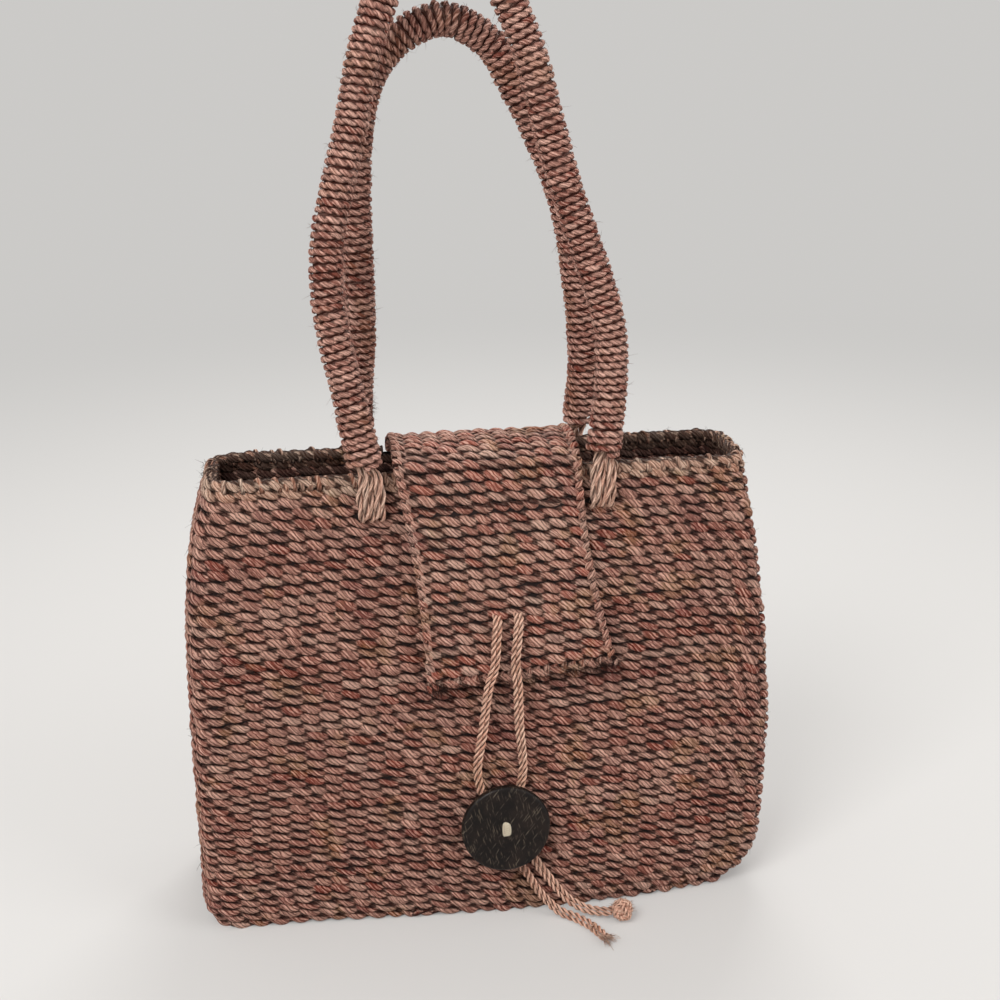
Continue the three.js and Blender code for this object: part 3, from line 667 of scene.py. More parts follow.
def flap_point(across, depth):
    across, depth = np.broadcast_arrays(np.asarray(across, float), np.asarray(depth, float))
    part = np.maximum(0, depth) / FLAP_LONG
    y, z = flap_middle(depth.ravel()).T
    x = (FLAP_MIDDLE + across - across * FLAP_WAIST * np.sin(math.pi * np.minimum(1, part))
         + part * FLAP_LONG * FLAP_DRIFT + (across + FLAP_HALF) * FLAP_FLARE * part ** 2)
    return np.stack([x.ravel(), y, z + (across * FLAP_TILT * part).ravel()], axis=1)


def flap_sides(across, depth):
    """Directions along the row, back up the flap, and out of its face"""
    along = unit(flap_point(across + 0.5, depth) - flap_point(across - 0.5, depth))
    up = unit(flap_point(across, depth - 0.5) - flap_point(across, depth + 0.5))
    out = unit(np.cross(along, up))
    return unit(np.cross(out, along)), out


def cord_holes():
    return [flap_point(HOLE_MIDDLE + side * HOLE_SPACING, HOLE_DEPTH)[0] for side in (-0.5, 0.5)]


# Closing cords: down from the flap, behind the button and out over the floor

BUTTON = np.array([4.0, 0.0, 53.3])
# Half of the doubled cord's thickness as it lies, and each cord's distance from its middle and own radius
CORD_RADIUS, CORD_APART, CORD_PLIED = 1.9, 1.2, 1.3


def beside_wall(across, up, away):
    x, z = BUTTON[0] + across, BUTTON[2] + up
    return [x, -(float(front_face(np.array(z), x)) + CORD_RADIUS + away), z]


FROM_HOLE = [(0, -0.8, 0), (0, -3.4, 0), (-0.3, -6.3, -3), (-1.2, -7, -12), (-2.2, -8.2, -24)]
BELOW_FLAP, OVER_FLAP = FOLD[1] - FLAP_LONG - 3.4 - BUTTON[2], STAND_OFF + FLAP_THICK + 0.3
LEFT_HANG = [
    *(beside_wall(*spot) for spot in (
        (-6.1, BELOW_FLAP, OVER_FLAP), (-9.3, 50, 3.2), (-12.5, 28, 1.2), (-10.7, 16, 0.9), (-5.6, 2, 1.2),
        (-2.9, -8, 0.8), (3.3, -18, 0.6), (9.8, -27, 0.5), (15.3, -37, 0.6),
    )),
    [25, -57.2, 8.5], [31, -60, 3.4], [38, -65, 2.3], [44, -72.5, 2.2], [49, -83, 2.2],
]
RIGHT_HANG = [
    *(beside_wall(*spot) for spot in (
        (7.9, BELOW_FLAP, OVER_FLAP), (8.5, 50, 3.2), (10.1, 28, 1.2), (7.9, 14, 0.9), (7.3, 0, 1.2),
        (10.3, -12, 0.8), (16.3, -24, 0.6), (23.8, -35, 0.8),
    )),
    [35, -58.2, 9.5], [43.5, -61.3, 4.6], [51, -64, 3.8], [56.6, -65.8, 4.6],
]
KNOT = np.array([61.5, -67.5, 5.0])


def closing_cord(name, hole, hang, seed, node):
    """A doubled cord: two thin plied cords that lie against each other"""
    line = respaced(smooth_line([hole + np.array(step) for step in FROM_HOLE] + hang), 240)[0]
    cord = Strands(seed)
    wide, thick = carried(line, X)
    at = lengths(line)
    angle = 0.5 * np.sin(at / 37 + seed) + 0.25 * np.sin(at / 11)
    arm = spokes(angle, wide, thick)
    for number, side in enumerate((-1, 1)):
        cord.plied(line + arm * side * CORD_APART, CORD_PLIED, 2, 7.5, 0.55, 0.14, 7, swing=number * 1.3)
    hairs = 90
    places = cord.dice.integers(4, len(line) - 4, hairs)
    ways = unit(cord.dice.normal(0, 1, (hairs, 3)) + 1.2 * directions(line)[places])
    roots = line[places] + np.stack([0 * places, 0 * places, np.where(line[places, 2] < 4, 0.6, 0)], axis=1)
    ways[:, 2] = np.where(line[places, 2] < 6, np.abs(ways[:, 2]), ways[:, 2])
    cord.hairs(roots, ways, 2.6, 0.1, 0.0)
    thing = cord.piece(name, cord_straw)
    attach(thing, "closure")
    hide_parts(node)
    return thing, line, at[-1]


# How far a knot's turns are drawn in
DRAWN_IN = math.sqrt(1 - 0.06)


def wound_knot(name, centre, size, loops, radius, material, seed, squash=(1, 1, 1)):
    """A knot: turns of cord drawn tight over each other round a small ball"""
    knot = Strands(seed)
    centre, squash = np.asarray(centre), np.asarray(squash)
    turn = np.linspace(0, TURN, 33)
    for number in range(loops):
        axis = unit(knot.dice.normal(0, 1, 3))
        first = unit(np.cross(axis, unit(knot.dice.normal(0, 1, 3))))
        second = np.cross(axis, first)
        far = size - radius * (1.0 + 0.35 * (number % 2))
        shift = axis * knot.dice.uniform(-0.25, 0.25) * size
        line = centre + (spokes(turn, first, second) * far * DRAWN_IN + shift) * squash
        knot.plied(line, radius, 2, 5.0, 0.55, 0.15, 6)
    rings = 9
    lats = np.linspace(-0.98, 0.98, rings)
    ball = centre + np.stack([0 * lats, 0 * lats, lats * (size - radius) * squash[2]], axis=1)
    across, deep = (np.sqrt(1 - lats ** 2) * (size - radius) * squash[axis] for axis in (0, 1))
    # The ball inside is darkened a little with painted shade
    knot.add(ball, np.tile(X, (rings, 1)), np.tile(Y, (rings, 1)), across, deep, 0.3, 0.6, 12)
    ways = unit(knot.dice.normal(0, 1, (140, 3)))
    if centre[2] < 20:
        # Near the ground, hairs only point up
        ways[:, 2] = np.abs(ways[:, 2])
    knot.hairs(centre + ways * size * 0.8 * squash, ways, 2.4, 0.11, 0.1)
    return knot.piece(name, material)


def make_cords():
    left_hole, right_hole = cord_holes()
    left, left_line, left_long = closing_cord(
        "left_closing_cord", left_hole, LEFT_HANG, 11, "closure_cord_left",
    )
    right, right_line, right_long = closing_cord(
        "right_closing_cord", right_hole, RIGHT_HANG, 12, "closure_cord_right",
    )
    knot = wound_knot("closing_knot", KNOT + (0, 0, 0.8), 6.1, 9, 1.35, cord_straw, 13, (1, 1, 0.92))
    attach(knot, "closure")
    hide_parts("closure_knot")
    tail = Strands(14)
    end, way = left_line[-1], directions(left_line)[-1]
    roots = np.repeat(end[None] - way * 2, 80, axis=0) + tail.dice.normal(0, 0.9, (80, 3)) * (1, 1, 0.4)
    ways = unit(way + tail.dice.normal(0, 0.3, (80, 3)) * (1, 1, 0.35))
    tail.hairs(roots, ways, 7.5, 0.3, 0.02, 0.9)
    ring = smooth_line(end - way * 9 + 1.9 * spokes(np.linspace(0, TURN, 9), np.cross(way, Z), Z))
    tail.plied(ring, 0.6, 2, 3.0, 0.7, 0.1, 5)
    tail = tail.piece("cord_tail_tuft", cord_straw)
    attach(tail, "closure")
    bridge = Strands(15)
    behind = np.array([0, FLAP_THICK / 2 - 1.4, 0])
    middle = (left_hole + right_hole) / 2
    bridge.plied(smooth_line([left_hole + behind, middle + behind * 1.05, right_hole + behind]), 1.4, 2, 5.0)
    bridge = bridge.piece("cord_bridge", cord_straw)
    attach(bridge, "flap_front")
    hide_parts("closure_bridge")


# Body of the bag: rows of twining round the wall

# Where the ties go through the walls: the gap between two rows, the middle of the cords and the knot,
# and how far inside the wall the knot's middle is
SLOT_HEIGHT, SLOT_MIDDLE, KNOT_REACH = 208.2, 208.0, 5.0
TIE_PLACES = {
    "front_left": (-54.4, -1), "front_right": (57.0, -1), "back_left": (-57.0, 1), "back_right": (54.4, 1),
}
ROWS, FIRST_ROW, LAST_ROW = 46, 2.9, 216.8
ROW_WALLS = ("front_wall", "back_wall", "right_gusset", "left_gusset")
BANDS = ("foot", "low", "belly", "shoulder", "neck")
ROW_HAIRS = 14
LOW_PITCH, HIGH_PITCH = 4.2, 5.35
# Where the rows' crest is and how far it is to both ends, its height, the rows' fall to the left, their
# climb to the right and their fall at the right corner
ROW_MIDDLE, LEFT_REACH, RIGHT_REACH = 6, 150, 138
ROW_CREST, LEFT_FALL, RIGHT_CLIMB, RIGHT_FALL = 4, 9, 6, 10
# The room that rows leave round a tie, and how far they move for it
PART_HALF_WIDTH, PART_HALF_HEIGHT, PART_RISE = 8.5, 5.2, 1.9


def row_levels():
    pitch = np.linspace(LOW_PITCH, HIGH_PITCH, ROWS - 1)
    return FIRST_ROW + np.concatenate([[0], np.cumsum(pitch)]) * (LAST_ROW - FIRST_ROW) / pitch.sum()


def row_height(level, x, y):
    """Rows hang lower towards the left end, climb to the right until the corner, and part where a tie
    goes through the wall"""
    left = np.clip((ROW_MIDDLE - x) / LEFT_REACH, 0, 1.1)
    right = np.clip((x - ROW_MIDDLE) / RIGHT_REACH, 0, 1.1)
    arch = ROW_CREST - LEFT_FALL * left ** 2 + RIGHT_CLIMB * right - RIGHT_FALL * right ** 7
    z = level + arch * math.sin(math.pi * min(1, level / (HEIGHT - 4)))
    for place, side in TIE_PLACES.values():
        near = np.exp(-((x - place) / PART_HALF_WIDTH) ** 4) * (y * side > 0)
        gap = z - SLOT_HEIGHT
        z = z + near * np.sign(gap) * PART_RISE * np.exp(-(gap / PART_HALF_HEIGHT) ** 2)
    return z


def body_ring(level, inset=3.0):
    z = np.full(STATIONS.shape[1], float(level))
    ring = plan(z, inset)
    for _ in range(3):
        ring = plan(row_height(level, ring[:, 0], ring[:, 1]), inset)
    return ring


def body_row(level):
    ring, above = body_ring(level), body_ring(level + 0.6)
    along = directions(ring, True)
    up = unit(above - ring)
    out = unit(np.cross(along, up))
    return ring, unit(np.cross(out, along)), out, np.linalg.norm(above - ring, axis=1) / 0.6


def make_body():
    levels = row_levels()
    pitches = np.gradient(levels)
    for number, (name, rows) in enumerate(zip(BANDS, np.array_split(np.arange(ROWS), len(BANDS)))):
        band = Strands(20 + number)
        for row in rows:
            ring, up, out, stretch = body_row(levels[row])
            tone = 0.10 * math.sin(row * 1.7) + 0.05 * math.sin(row * 0.6)
            band.twined(ring, up, out, pitches[row] * np.clip(stretch, 0.7, 1.3), closed=True, tone=tone)
            roots = band.dice.integers(0, len(ring), ROW_HAIRS)
            ways = unit(out[roots] * 0.35 + band.dice.normal(0, 1, (ROW_HAIRS, 3)))
            band.hairs(ring[roots] + out[roots] * 2.4, ways, 3.0, 0.11, 0.15, 0.85)
        band = band.piece(f"body_weave_{name}", weave_straw)
        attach(band, "bag")
        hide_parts(*ROW_WALLS)
    # Painted shade: a dark sheet inside the wall stands for the shade behind the rows
    shaded_wall_sheet = Strands(29)
    for low, high in ((1.2, 110.0), (109.0, 225.0)):
        heights = np.linspace(low, high, 20)
        rings = [body_ring(height, 2.75)[::12] for height in heights]
        rings += [body_ring(height, 3.25)[::12] for height in heights[::-1]]
        shaded_wall_sheet.sheet(np.concatenate(rings), grid_quads(len(rings), len(rings[0]), True, True))
    shaded_wall_sheet = shaded_wall_sheet.piece("wall_shade_sheet", shade_sheet_dark)
    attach(shaded_wall_sheet, "bag")


def make_base():
    base = Strands(31)
    edge = plan(np.full(STATIONS.shape[1], 2.8), 4.2)
    deep = edge[:, 1].max() - 1.5
    count, steps = int(2 * deep / 5.3), 60
    for y in np.linspace(-deep, deep, count):
        near = edge[np.abs(edge[:, 1] - y) < 1.2, 0]
        x = np.linspace(near[near < 0].min(), near[near > 0].max(), steps)
        line = np.stack([x, np.full(steps, y), np.full(steps, 2.75)], axis=1)
        up, out = np.tile(Y, (steps, 1)), np.tile(-Z, (steps, 1))
        base.twined(line, up, out, np.full(steps, 2 * deep / (count - 1)), arm=1.05, bulk=1.25)
    # A thin closed sheet between the rows keeps the base from showing light; its depth of 0 paints it in the
    # straw's painted shade
    outline = edge[::10]
    count = len(outline)
    ring = np.arange(count)
    after = np.roll(ring, -1)
    low = base.count
    for z, under in ((2.5, True), (3.0, False)):
        points = outline * (1, 1, 0) + Z * z
        fan = np.stack([ring, after, np.full(count, count)], axis=1)
        base.fans.append((fan[:, ::-1] if under else fan) + base.count)
        points = np.vstack([points, points.mean(axis=0)])
        base.put(points, points * 0, np.full(count + 1, 0.2), np.zeros(count + 1))
    up = count + 1
    base.quads.append(low + np.stack([ring, after, after + up, ring + up], axis=1))
    base = base.piece("base_weave", weave_straw)
    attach(base, "bag")
    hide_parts("base_panel")


# Heights of the rim's outer row, of its two top rows and of its loops
RIM_ROW, RIM_TOP, RIM_LOOPS = 221.6, 225.6, 224.6


def at_flap(points):
    """Where the flap grows out of the back edge, the rim has no loops"""
    return (points[:, 1] > 0) & (points[:, 0] > -44.5) & (points[:, 0] < 47.5)


def make_rim():
    rim = Strands(41)
    ring, up, out, _ = body_row(RIM_ROW)
    rim.twined(ring, up, out, np.full(len(ring), 5.2), closed=True, arm=1.3, bulk=1.6, tone=0.05)
    top, top_up, top_out, _ = body_row(RIM_TOP)
    keep = ~at_flap(top)
    order = np.roll(np.arange(len(top)), -int(np.argmin(keep)))
    order = order[keep[order]]
    for inset, height in ((0.9, 0.0), (-1.5, 0.6)):
        line = top[order] + top_out[order] * inset + Z * height
        rim.twined(
            line, top_up[order], top_out[order], np.full(len(order), 4.6), period=15.0, arm=1.0, bulk=1.35,
            tone=0.1,
        )
    # Warp ends turn over the top in loops
    count = 150
    middle, _, outs = respaced(body_row(RIM_LOOPS)[0], count, True, (out,))
    along = directions(middle, True)
    for number in range(count):
        base = middle[number]
        if at_flap(base[None])[0] or rim.dice.random() < 0.35:
            continue
        side, outward, rise = along[number], outs[number] * (1, 1, 0), rim.dice.uniform(0.7, 1.2)
        outward /= np.linalg.norm(outward)
        part = np.linspace(0, 1, 11)[:, None]
        over = np.sin(math.pi * part)
        lean = rim.dice.uniform(1.0, 5.0)
        line = (
            base - side * lean * (part - 0.5) + outward * 2.2 * np.cos(math.pi * part) - Z * 1.8
            + Z * (5.0 * rise * over ** 0.8)
        )
        tint = np.clip(rim.dice.normal(0.5, 0.3), 0, 1)
        size = rim.dice.uniform(1.1, 1.7)
        # Painted shade where each loop goes down into the weave
        rim.add(line, *carried(line, side), size, 1.15, tint, 0.45 + 0.55 * over[:, 0], 7)
    hairs = 1300
    places = rim.dice.integers(0, len(ring), hairs)
    roots = ring[places] + out[places] * rim.dice.uniform(-2.5, 2.6, (hairs, 1))
    roots = roots + Z * rim.dice.uniform(-1, 6.0, (hairs, 1))
    roots = roots[~at_flap(roots)]
    ways = unit(rim.dice.normal(0, 1, roots.shape) + Z * 0.6)
    rim.hairs(roots, ways, 3.2, 0.1, 0.2, 1.0)
    rim = rim.piece("rim_binding", rim_straw)
    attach(rim, "bag")
    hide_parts("front_rim", "right_rim", "left_rim", "back_rim_right", "back_rim_left")


# Flap weave

FLAP_PITCH = 5.1


def flap_rows(strands, depths, tone=0.0):
    steps = 60
    across = np.linspace(-FLAP_HALF + 1.5, FLAP_HALF - 1.5, steps)
    for depth in depths:
        part = np.maximum(0, depth) / FLAP_LONG
        line = flap_point(across, depth)
        up, out = flap_sides(across, depth)
        bow = -1.2 * part * np.cos(math.pi * across / (2 * FLAP_HALF))
        line = line + up * bow[:, None]
        strands.twined(
            line, up, out, np.full(steps, FLAP_PITCH), period=17.4, arm=1.1, bulk=1.3,
            tone=tone + 0.12 * math.sin(depth * 0.9) + strands.dice.normal(0, 0.05),
        )


def flap_edges(strands, low, high):
    """Each row turns back at the edge of the flap in a rounded loop"""
    depths = np.linspace(low, high, int((high - low) / FLAP_PITCH * 12))
    for side in (-1, 1):
        across = np.full(len(depths), side * (FLAP_HALF - 1.2))
        line = flap_point(across, depths)
        up, out = flap_sides(across, depths)
        away = unit(np.cross(up, out)) * side
        turn = TURN * depths / FLAP_PITCH + 0.35 * strands.wobble(len(depths), 12)
        arm = 1.35 + 0.25 * strands.wobble(len(depths), 12)
        path = line + away * (arm * np.cos(turn))[:, None] * 1.5 + out * (1.2 * np.sin(turn))[:, None]
        stitch = np.floor(turn / TURN).astype(int)
        stitch -= stitch.min()
        tones = np.clip(strands.dice.normal(0.5, 0.22, stitch.max() + 1), 0, 1)[stitch]
        size = 2.0 + 0.25 * strands.wobble(len(depths), 12)
        strands.add(path, up, out, size, size * 0.95, tones, 1.0, 7)


def flap_shade_sheet(name, low, high):
    """A thin closed sheet inside the flap, dark as painted shade, that keeps its rows from showing light"""
    shaded_flap_sheet = Strands(59)
    deep, wide = 24, 12
    depths = np.linspace(low, high, deep)
    across = np.linspace(-FLAP_HALF + 1, FLAP_HALF - 1, wide)
    rows = []
    for shift, order in ((-0.25, depths), (0.25, depths[::-1])):
        for depth in order:
            rows.append(flap_point(across, depth) + flap_sides(across, depth)[1] * shift)
    quads = grid_quads(2 * deep, wide, True)
    k = np.arange(deep - 1)
    for column, flip in ((0, 1), (wide - 1, -1)):
        side = np.stack([k, k + 1, 2 * deep - 2 - k, 2 * deep - 1 - k], axis=1) * wide + column
        quads = np.vstack([quads, side[:, ::flip]])
    shaded_flap_sheet.sheet(np.concatenate(rows), quads)
    return shaded_flap_sheet.piece(name, shade_sheet_dark)


def make_flap():
    halfway = -FLAP_TOP / 2
    # The top's rows run on a little way below the back rim, so that the hinge never opens
    first, last = halfway - FLAP_PITCH / 2, -FLAP_TOP - 4.2
    rear_depths = np.linspace(first, last, 1 + round((first - last) / FLAP_PITCH))
    front_depths = np.arange(halfway + FLAP_PITCH / 2, FLAP_LONG + 0.5, FLAP_PITCH)
    rear, front = Strands(51), Strands(52)
    flap_rows(rear, rear_depths)
    flap_edges(rear, -FLAP_TOP - 2.5, halfway)
    flap_rows(front, front_depths)
    flap_edges(front, halfway, FLAP_LONG + 1.5)
    # The last row is bound: the warp ends turn back under it
    part = np.linspace(0, 1, 11)[:, None]
    over, ahead = np.sin(math.pi * part), np.cos(math.pi * part)
    for across in np.linspace(-FLAP_HALF + 2, FLAP_HALF - 2, 21):
        base = flap_point(across, FLAP_LONG - 0.5)[0]
        up, out = (v[0] for v in flap_sides(across, FLAP_LONG - 0.5))
        side = np.cross(up, out)
        line = base + up * (2.2 - 3.6 * over) + out * (1.6 * ahead - 0.6) + side * 3.4 * (part - 0.5)
        tint = np.clip(front.dice.normal(0.4, 0.22), 0, 1)
        # Painted shade where the warp ends turn under the row
        front.add(line, *carried(line, side), 1.9, 1.15, tint, 0.5 + 0.5 * over[:, 0], 7)
    count = 520
    across = front.dice.uniform(-FLAP_HALF - 1, FLAP_HALF + 1, count)
    depths = FLAP_LONG + front.dice.uniform(-3, 2.5, count)
    corner = front.dice.random(count) < 0.5
    across = np.where(corner, np.sign(across) * (FLAP_HALF - np.abs(front.dice.normal(0, 5, count))), across)
    roots = flap_point(across, depths)
    up, out = flap_sides(across, depths)
    lean = -up * front.dice.uniform(0, 1.2, (count, 1)) + out * 0.3
    ways = unit(lean + 0.8 * front.dice.normal(0, 1, roots.shape))
    front.hairs(roots + out * 1.5, ways, 5.0, 0.14, 0.3, 0.8)
    at_back = ("bag", "flap_top"), (0, 0.0235, 0.2235), (0, 0.0194, 0.231)
    at_fold = ("flap_top", "flap_front"), (0, -0.0258, 0.234), (0, -0.0305, 0.2264)
    for strands, name, node, (bodies, start, end) in (
        (rear, "flap_rear_weave", "flap_top", at_back), (front, "flap_front_weave", "flap_front", at_fold),
    ):
        piece = strands.piece(name, flap_straw)
        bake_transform(piece)
        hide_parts(node)
    for name, low, high, (bodies, start, end) in (
        ("flap_rear_shade_sheet", last - 0.5, halfway + 1, at_back),
        ("flap_front_shade_sheet", halfway, FLAP_LONG, at_fold),
    ):
        piece = flap_shade_sheet(name, low, high)
        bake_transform(piece)


# Handles

# Height, half width more than at the feet, and lean to the left, for each loop; the last entry is its top
LOOPS = {
    "front": [
        (0, 0, 0), (30, 4.5, 1), (55, 6.75, 3.75), (80, 4.5, 8.2), (100, 0.4, 10.9), (125, -6.75, 11.85),
        (150, -13.4, 11.7), (180, -20.8, 12.1), (200, -28.5, 12.5), (214, -35.9, 12.5), (221, -57.5, 12.5),
    ],
    "back": [
        (0, 0, 0), (20, -0.25, -1.75), (45, -1.95, -2.05), (70, -3.6, -0.7), (95, -5.5, 1.6),
        (120, -9.2, 5.1), (145, -15.75, 9.75), (165, -23.5, 12.5), (183, -35.1, 12.1), (193.5, -57.5, 11.5),
    ],
}
FACING = {"front": -1, "back": 1}
HANDLE_FOOT, HANDLE_RADIUS, END_RADIUS, END_DROP = 57.5, 7.6, 8.6, 5.5
HANDLE_Y, HANDLE_Z = 30.0, 240.0
HANDLE_LEAN = math.asin((HANDLE_Y - HANDLE_RADIUS - 0.45 - 1) / LOOPS["front"][-1][0])
# The wound cord: its radius, its pitch on the handle, its own turns for each turn round, and steps in each
WOUND_RADIUS, WOUND_PITCH, WOUND_TWIST, WOUND_STEPS = 1.6, 3.6, 4.3, 44
# Steps along a handle's middle, how far its ends' swelling reaches, and how far the last turns close in
AXIS_STEPS, END_SWELL, END_CLOSE = 2400, 20, 2.2


def handle_axis(name, past=0.0):
    """Middle line of a handle, carried on past its feet by the given length"""
    *shape, (top, _, top_lean) = LOOPS[name]
    left, right = (
        [(hand * (HANDLE_FOOT + wider) - lean, 0, up) for up, wider, lean in shape] for hand in (-1, 1)
    )
    line = smooth_line([*left, (-top_lean, 0, top), *right[::-1]], 40)
    ahead = directions(line)
    line = np.vstack([line[0] - ahead[0] * past, line, line[-1] + ahead[-1] * past])
    x, up = line[:, 0], line[:, 2]
    y = FACING[name] * (HANDLE_Y - up * math.sin(HANDLE_LEAN))
    return np.stack([x, y, HANDLE_Z + up * math.cos(HANDLE_LEAN)], axis=1)


def make_handle(name, seed):
    """A cord of two plies wound closely round a handle, over a bundle of straw"""
    facing = FACING[name]
    wrap = Strands(seed)
    axis = respaced(handle_axis(name, END_DROP), AXIS_STEPS)[0]
    at = lengths(axis)
    long = at[-1]
    wide, thick = carried(axis, Y * facing)
    turns = round(long / WOUND_PITCH)
    steps = turns * WOUND_STEPS
    # The handle's middle, its sides and its outer radius at each step of the cord; it swells towards its ends
    along = np.linspace(0, long, steps)
    centre, wide, thick = (read_at(along, at, v) for v in (axis, wide, thick))
    wide, thick = unit(wide), unit(thick)
    ahead = unit(np.cross(wide, thick))
    end = np.minimum(along, long - along)
    outer = HANDLE_RADIUS + 0.3 + (END_RADIUS - HANDLE_RADIUS) * np.exp(-end / END_SWELL)
    outer = outer - END_CLOSE * (1 - np.clip(end / END_CLOSE, 0, 1)) ** 2
    # The cord goes round and slips a little along the handle, and its two plies turn round each other
    angle = TURN * turns * along / long + 0.2 * wrap.wobble(steps, 150)
    spoke = spokes(angle, wide, thick)
    slip = 0.4 * wrap.wobble(steps, 34)
    ring = centre + spoke * (outer - 1.25 + 0.2 * wrap.wobble(steps, 40))[:, None] + ahead * slip[:, None]
    twist = TURN * turns * along / long * WOUND_TWIST + 1.3 * wrap.wobble(steps, 30)
    for number in range(2):
        turn = twist + math.pi * number
        face = np.cos(turn)
        path = ring + spoke * (0.42 * face)[:, None] - ahead * (0.6 * np.sin(turn))[:, None]
        tone = np.clip(0.5 + 0.5 * wrap.wobble(steps, 16) + 0.14 * np.sin(along / 23 + number), 0, 1)
        full = np.clip(face, 0, 1)
        size = 1 + 0.14 * wrap.wobble(steps, 18)
        # Painted shade where one ply turns under the other
        shown = np.clip(0.68 + face, 0.4, 1)
        wrap.add(path, ahead, spoke, size * (1.0 + 0.38 * full), size * 1.12, tone, shown, 6)
    # A tube under the windings, short of both ends, darkened as painted shade between the turns
    under = respaced(axis[40:-40], 260)[0]
    inside = HANDLE_RADIUS - 1.4
    wrap.add(under, *carried(under, Y * facing), inside, inside, 0.1, 0.4, 14)
    places = wrap.dice.integers(0, steps, 800)
    roots = ring[places] + spoke[places] * WOUND_RADIUS * 0.8
    wrap.hairs(roots, unit(spoke[places] * 0.5 + wrap.dice.normal(0, 1, roots.shape)), 3.0, 0.1, 0.1)
    if facing > 0:
        # The straw's end works loose beside the left foot
        loose = axis[0] + np.array([
            (8.2, -2.0, 21.0), (9.0, -2.5, 16.0), (8.6, -3.0, 10.0), (9.3, -3.0, 5.0), (8.4, -2.0, 1.0),
        ])
        wrap.plied(smooth_line(loose, 10), 0.95, 2, 6.0, 0.7, 0.1, 6)
        roots = axis[0] + (7.8, -1.5, 14) + wrap.dice.uniform(-1, 1, (130, 3)) * (1.0, 2.0, 6.0)
        ways = unit(X * 0.9 + Z * 0.2 + 0.7 * wrap.dice.normal(0, 1, roots.shape))
        wrap.hairs(roots, ways, 3.2, 0.13, 0.3, 0.7)
    wrap = wrap.piece(f"{name}_handle_winding", handle_straw)
    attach(wrap, f"{name}_handle")
    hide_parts(f"{name}_handle_wrap")
    core = Strands(seed + 1)
    inner = respaced(handle_axis(name, END_DROP - 3.3), 220)[0]
    core.plied(inner, 4.4, 5, 60.0, 0.4, 0.1, 6, side=Y * facing)
    # Painted shade: the bundle's middle tube is darkened
    core.add(inner, *carried(inner, Y * facing), 2.2, 2.2, 0.3, 0.4, 6)
    core = core.piece(f"{name}_handle_bundle", core_straw)
    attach(core, f"{name}_handle")
    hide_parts(f"{name}_handle_core")


# A tie's way down the wall and through its slot: its share of the cords' spread, how far it is off the face
# and how far up, each with what a cord's layer adds to it
TIE_WAY = (
    (0.8, 1.9, 0.7, 229.5, 0.0), (1.0, 1.9, 0.6, 221.0, 0.0), (0.94, 1.7, 0.5, 213.5, 0.0),
    (0.9, 0.3, 0.0, SLOT_MIDDLE + 0.6, 0.5), (0.85, -5.0, 0.0, SLOT_MIDDLE, 0.9),
    (0.6, -10.0, 0.0, SLOT_MIDDLE, 1.2),
)
# How far a tie's outer cords lie from its middle, how far its two layers do, and the radius of a cord
TIE_SPREAD, TIE_LAYER, TIE_RADIUS = 5.2, 0.9, 1.62


def make_tie(name, place, facing, seed):
    """Straw cords from the handle's end, down the wall, through their slot and into a knot inside"""
    face = float(front_face(np.array(SLOT_MIDDLE))) + 0.3
    foot = np.array([np.sign(place) * HANDLE_FOOT, facing * HANDLE_Y, HANDLE_Z - END_DROP])
    tie = Strands(seed)
    for number, spread in enumerate(np.linspace(-1, 1, 5)):
        layer = TIE_LAYER if number % 2 else -TIE_LAYER
        jig = tie.dice.uniform(-0.4, 0.4, 8)
        wide = spread * TIE_SPREAD
        points = [
            foot + (wide / 2, facing * layer, 4.0), foot + (spread * 3.0, facing * (layer + 0.4), 0.0),
        ]
        points += [
            [place + wide * part + more, facing * (face + off + layer * step_off), z + layer * step_up]
            for more, (part, off, step_off, z, step_up) in zip(jig, TIE_WAY)
        ]
        tie.plied(smooth_line(points, 12), TIE_RADIUS, 2, 19.0, 0.6, 0.14, 7, swing=number * 1.9)
    for spot in (foot + (0, facing * 2, -8.0), np.array([place, facing * (face + 3.0), SLOT_MIDDLE + 6])):
        roots = spot + tie.dice.uniform(-1, 1, (26, 3)) * (6.0, 0.5, 5.0)
        ways = unit(Y * facing * 0.6 - Z * 0.5 + 0.8 * tie.dice.normal(0, 1, roots.shape))
        tie.hairs(roots, ways, 3.6, 0.12, 0.3)
    tie = tie.piece(f"{name}_tie_strands", tie_straw)
    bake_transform(tie)
    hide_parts(f"{name}_tie")
    behind = front_face(np.array(SLOT_MIDDLE), 55.7) - WALL - KNOT_REACH
    inside = [place, facing * behind, SLOT_MIDDLE]
    knot = wound_knot(f"{name}_tie_knot", inside, 5.5, 6, 1.35, tie_straw, seed + 5, (1.12, 0.8, 1.0))
    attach(knot, "bag")


# Button

BUTTON_TILT, BUTTON_RADIUS, BUTTON_THICK, BUTTON_OFF = math.radians(7), 22.0, 4.5, 6.4


def from_button(points):
    """From the button's own axes, its face towards -Y, to its place on the wall"""
    points = np.atleast_2d(np.asarray(points, float))
    c, s = math.cos(-BUTTON_TILT), math.sin(-BUTTON_TILT)
    x, y, z = points.T
    middle = -(float(front_face(np.array(BUTTON[2]), BUTTON[0])) + BUTTON_OFF + BUTTON_THICK / 2)
    return np.stack([x + BUTTON[0], c * y - s * z + middle, s * y + c * z + BUTTON[2]], axis=1)


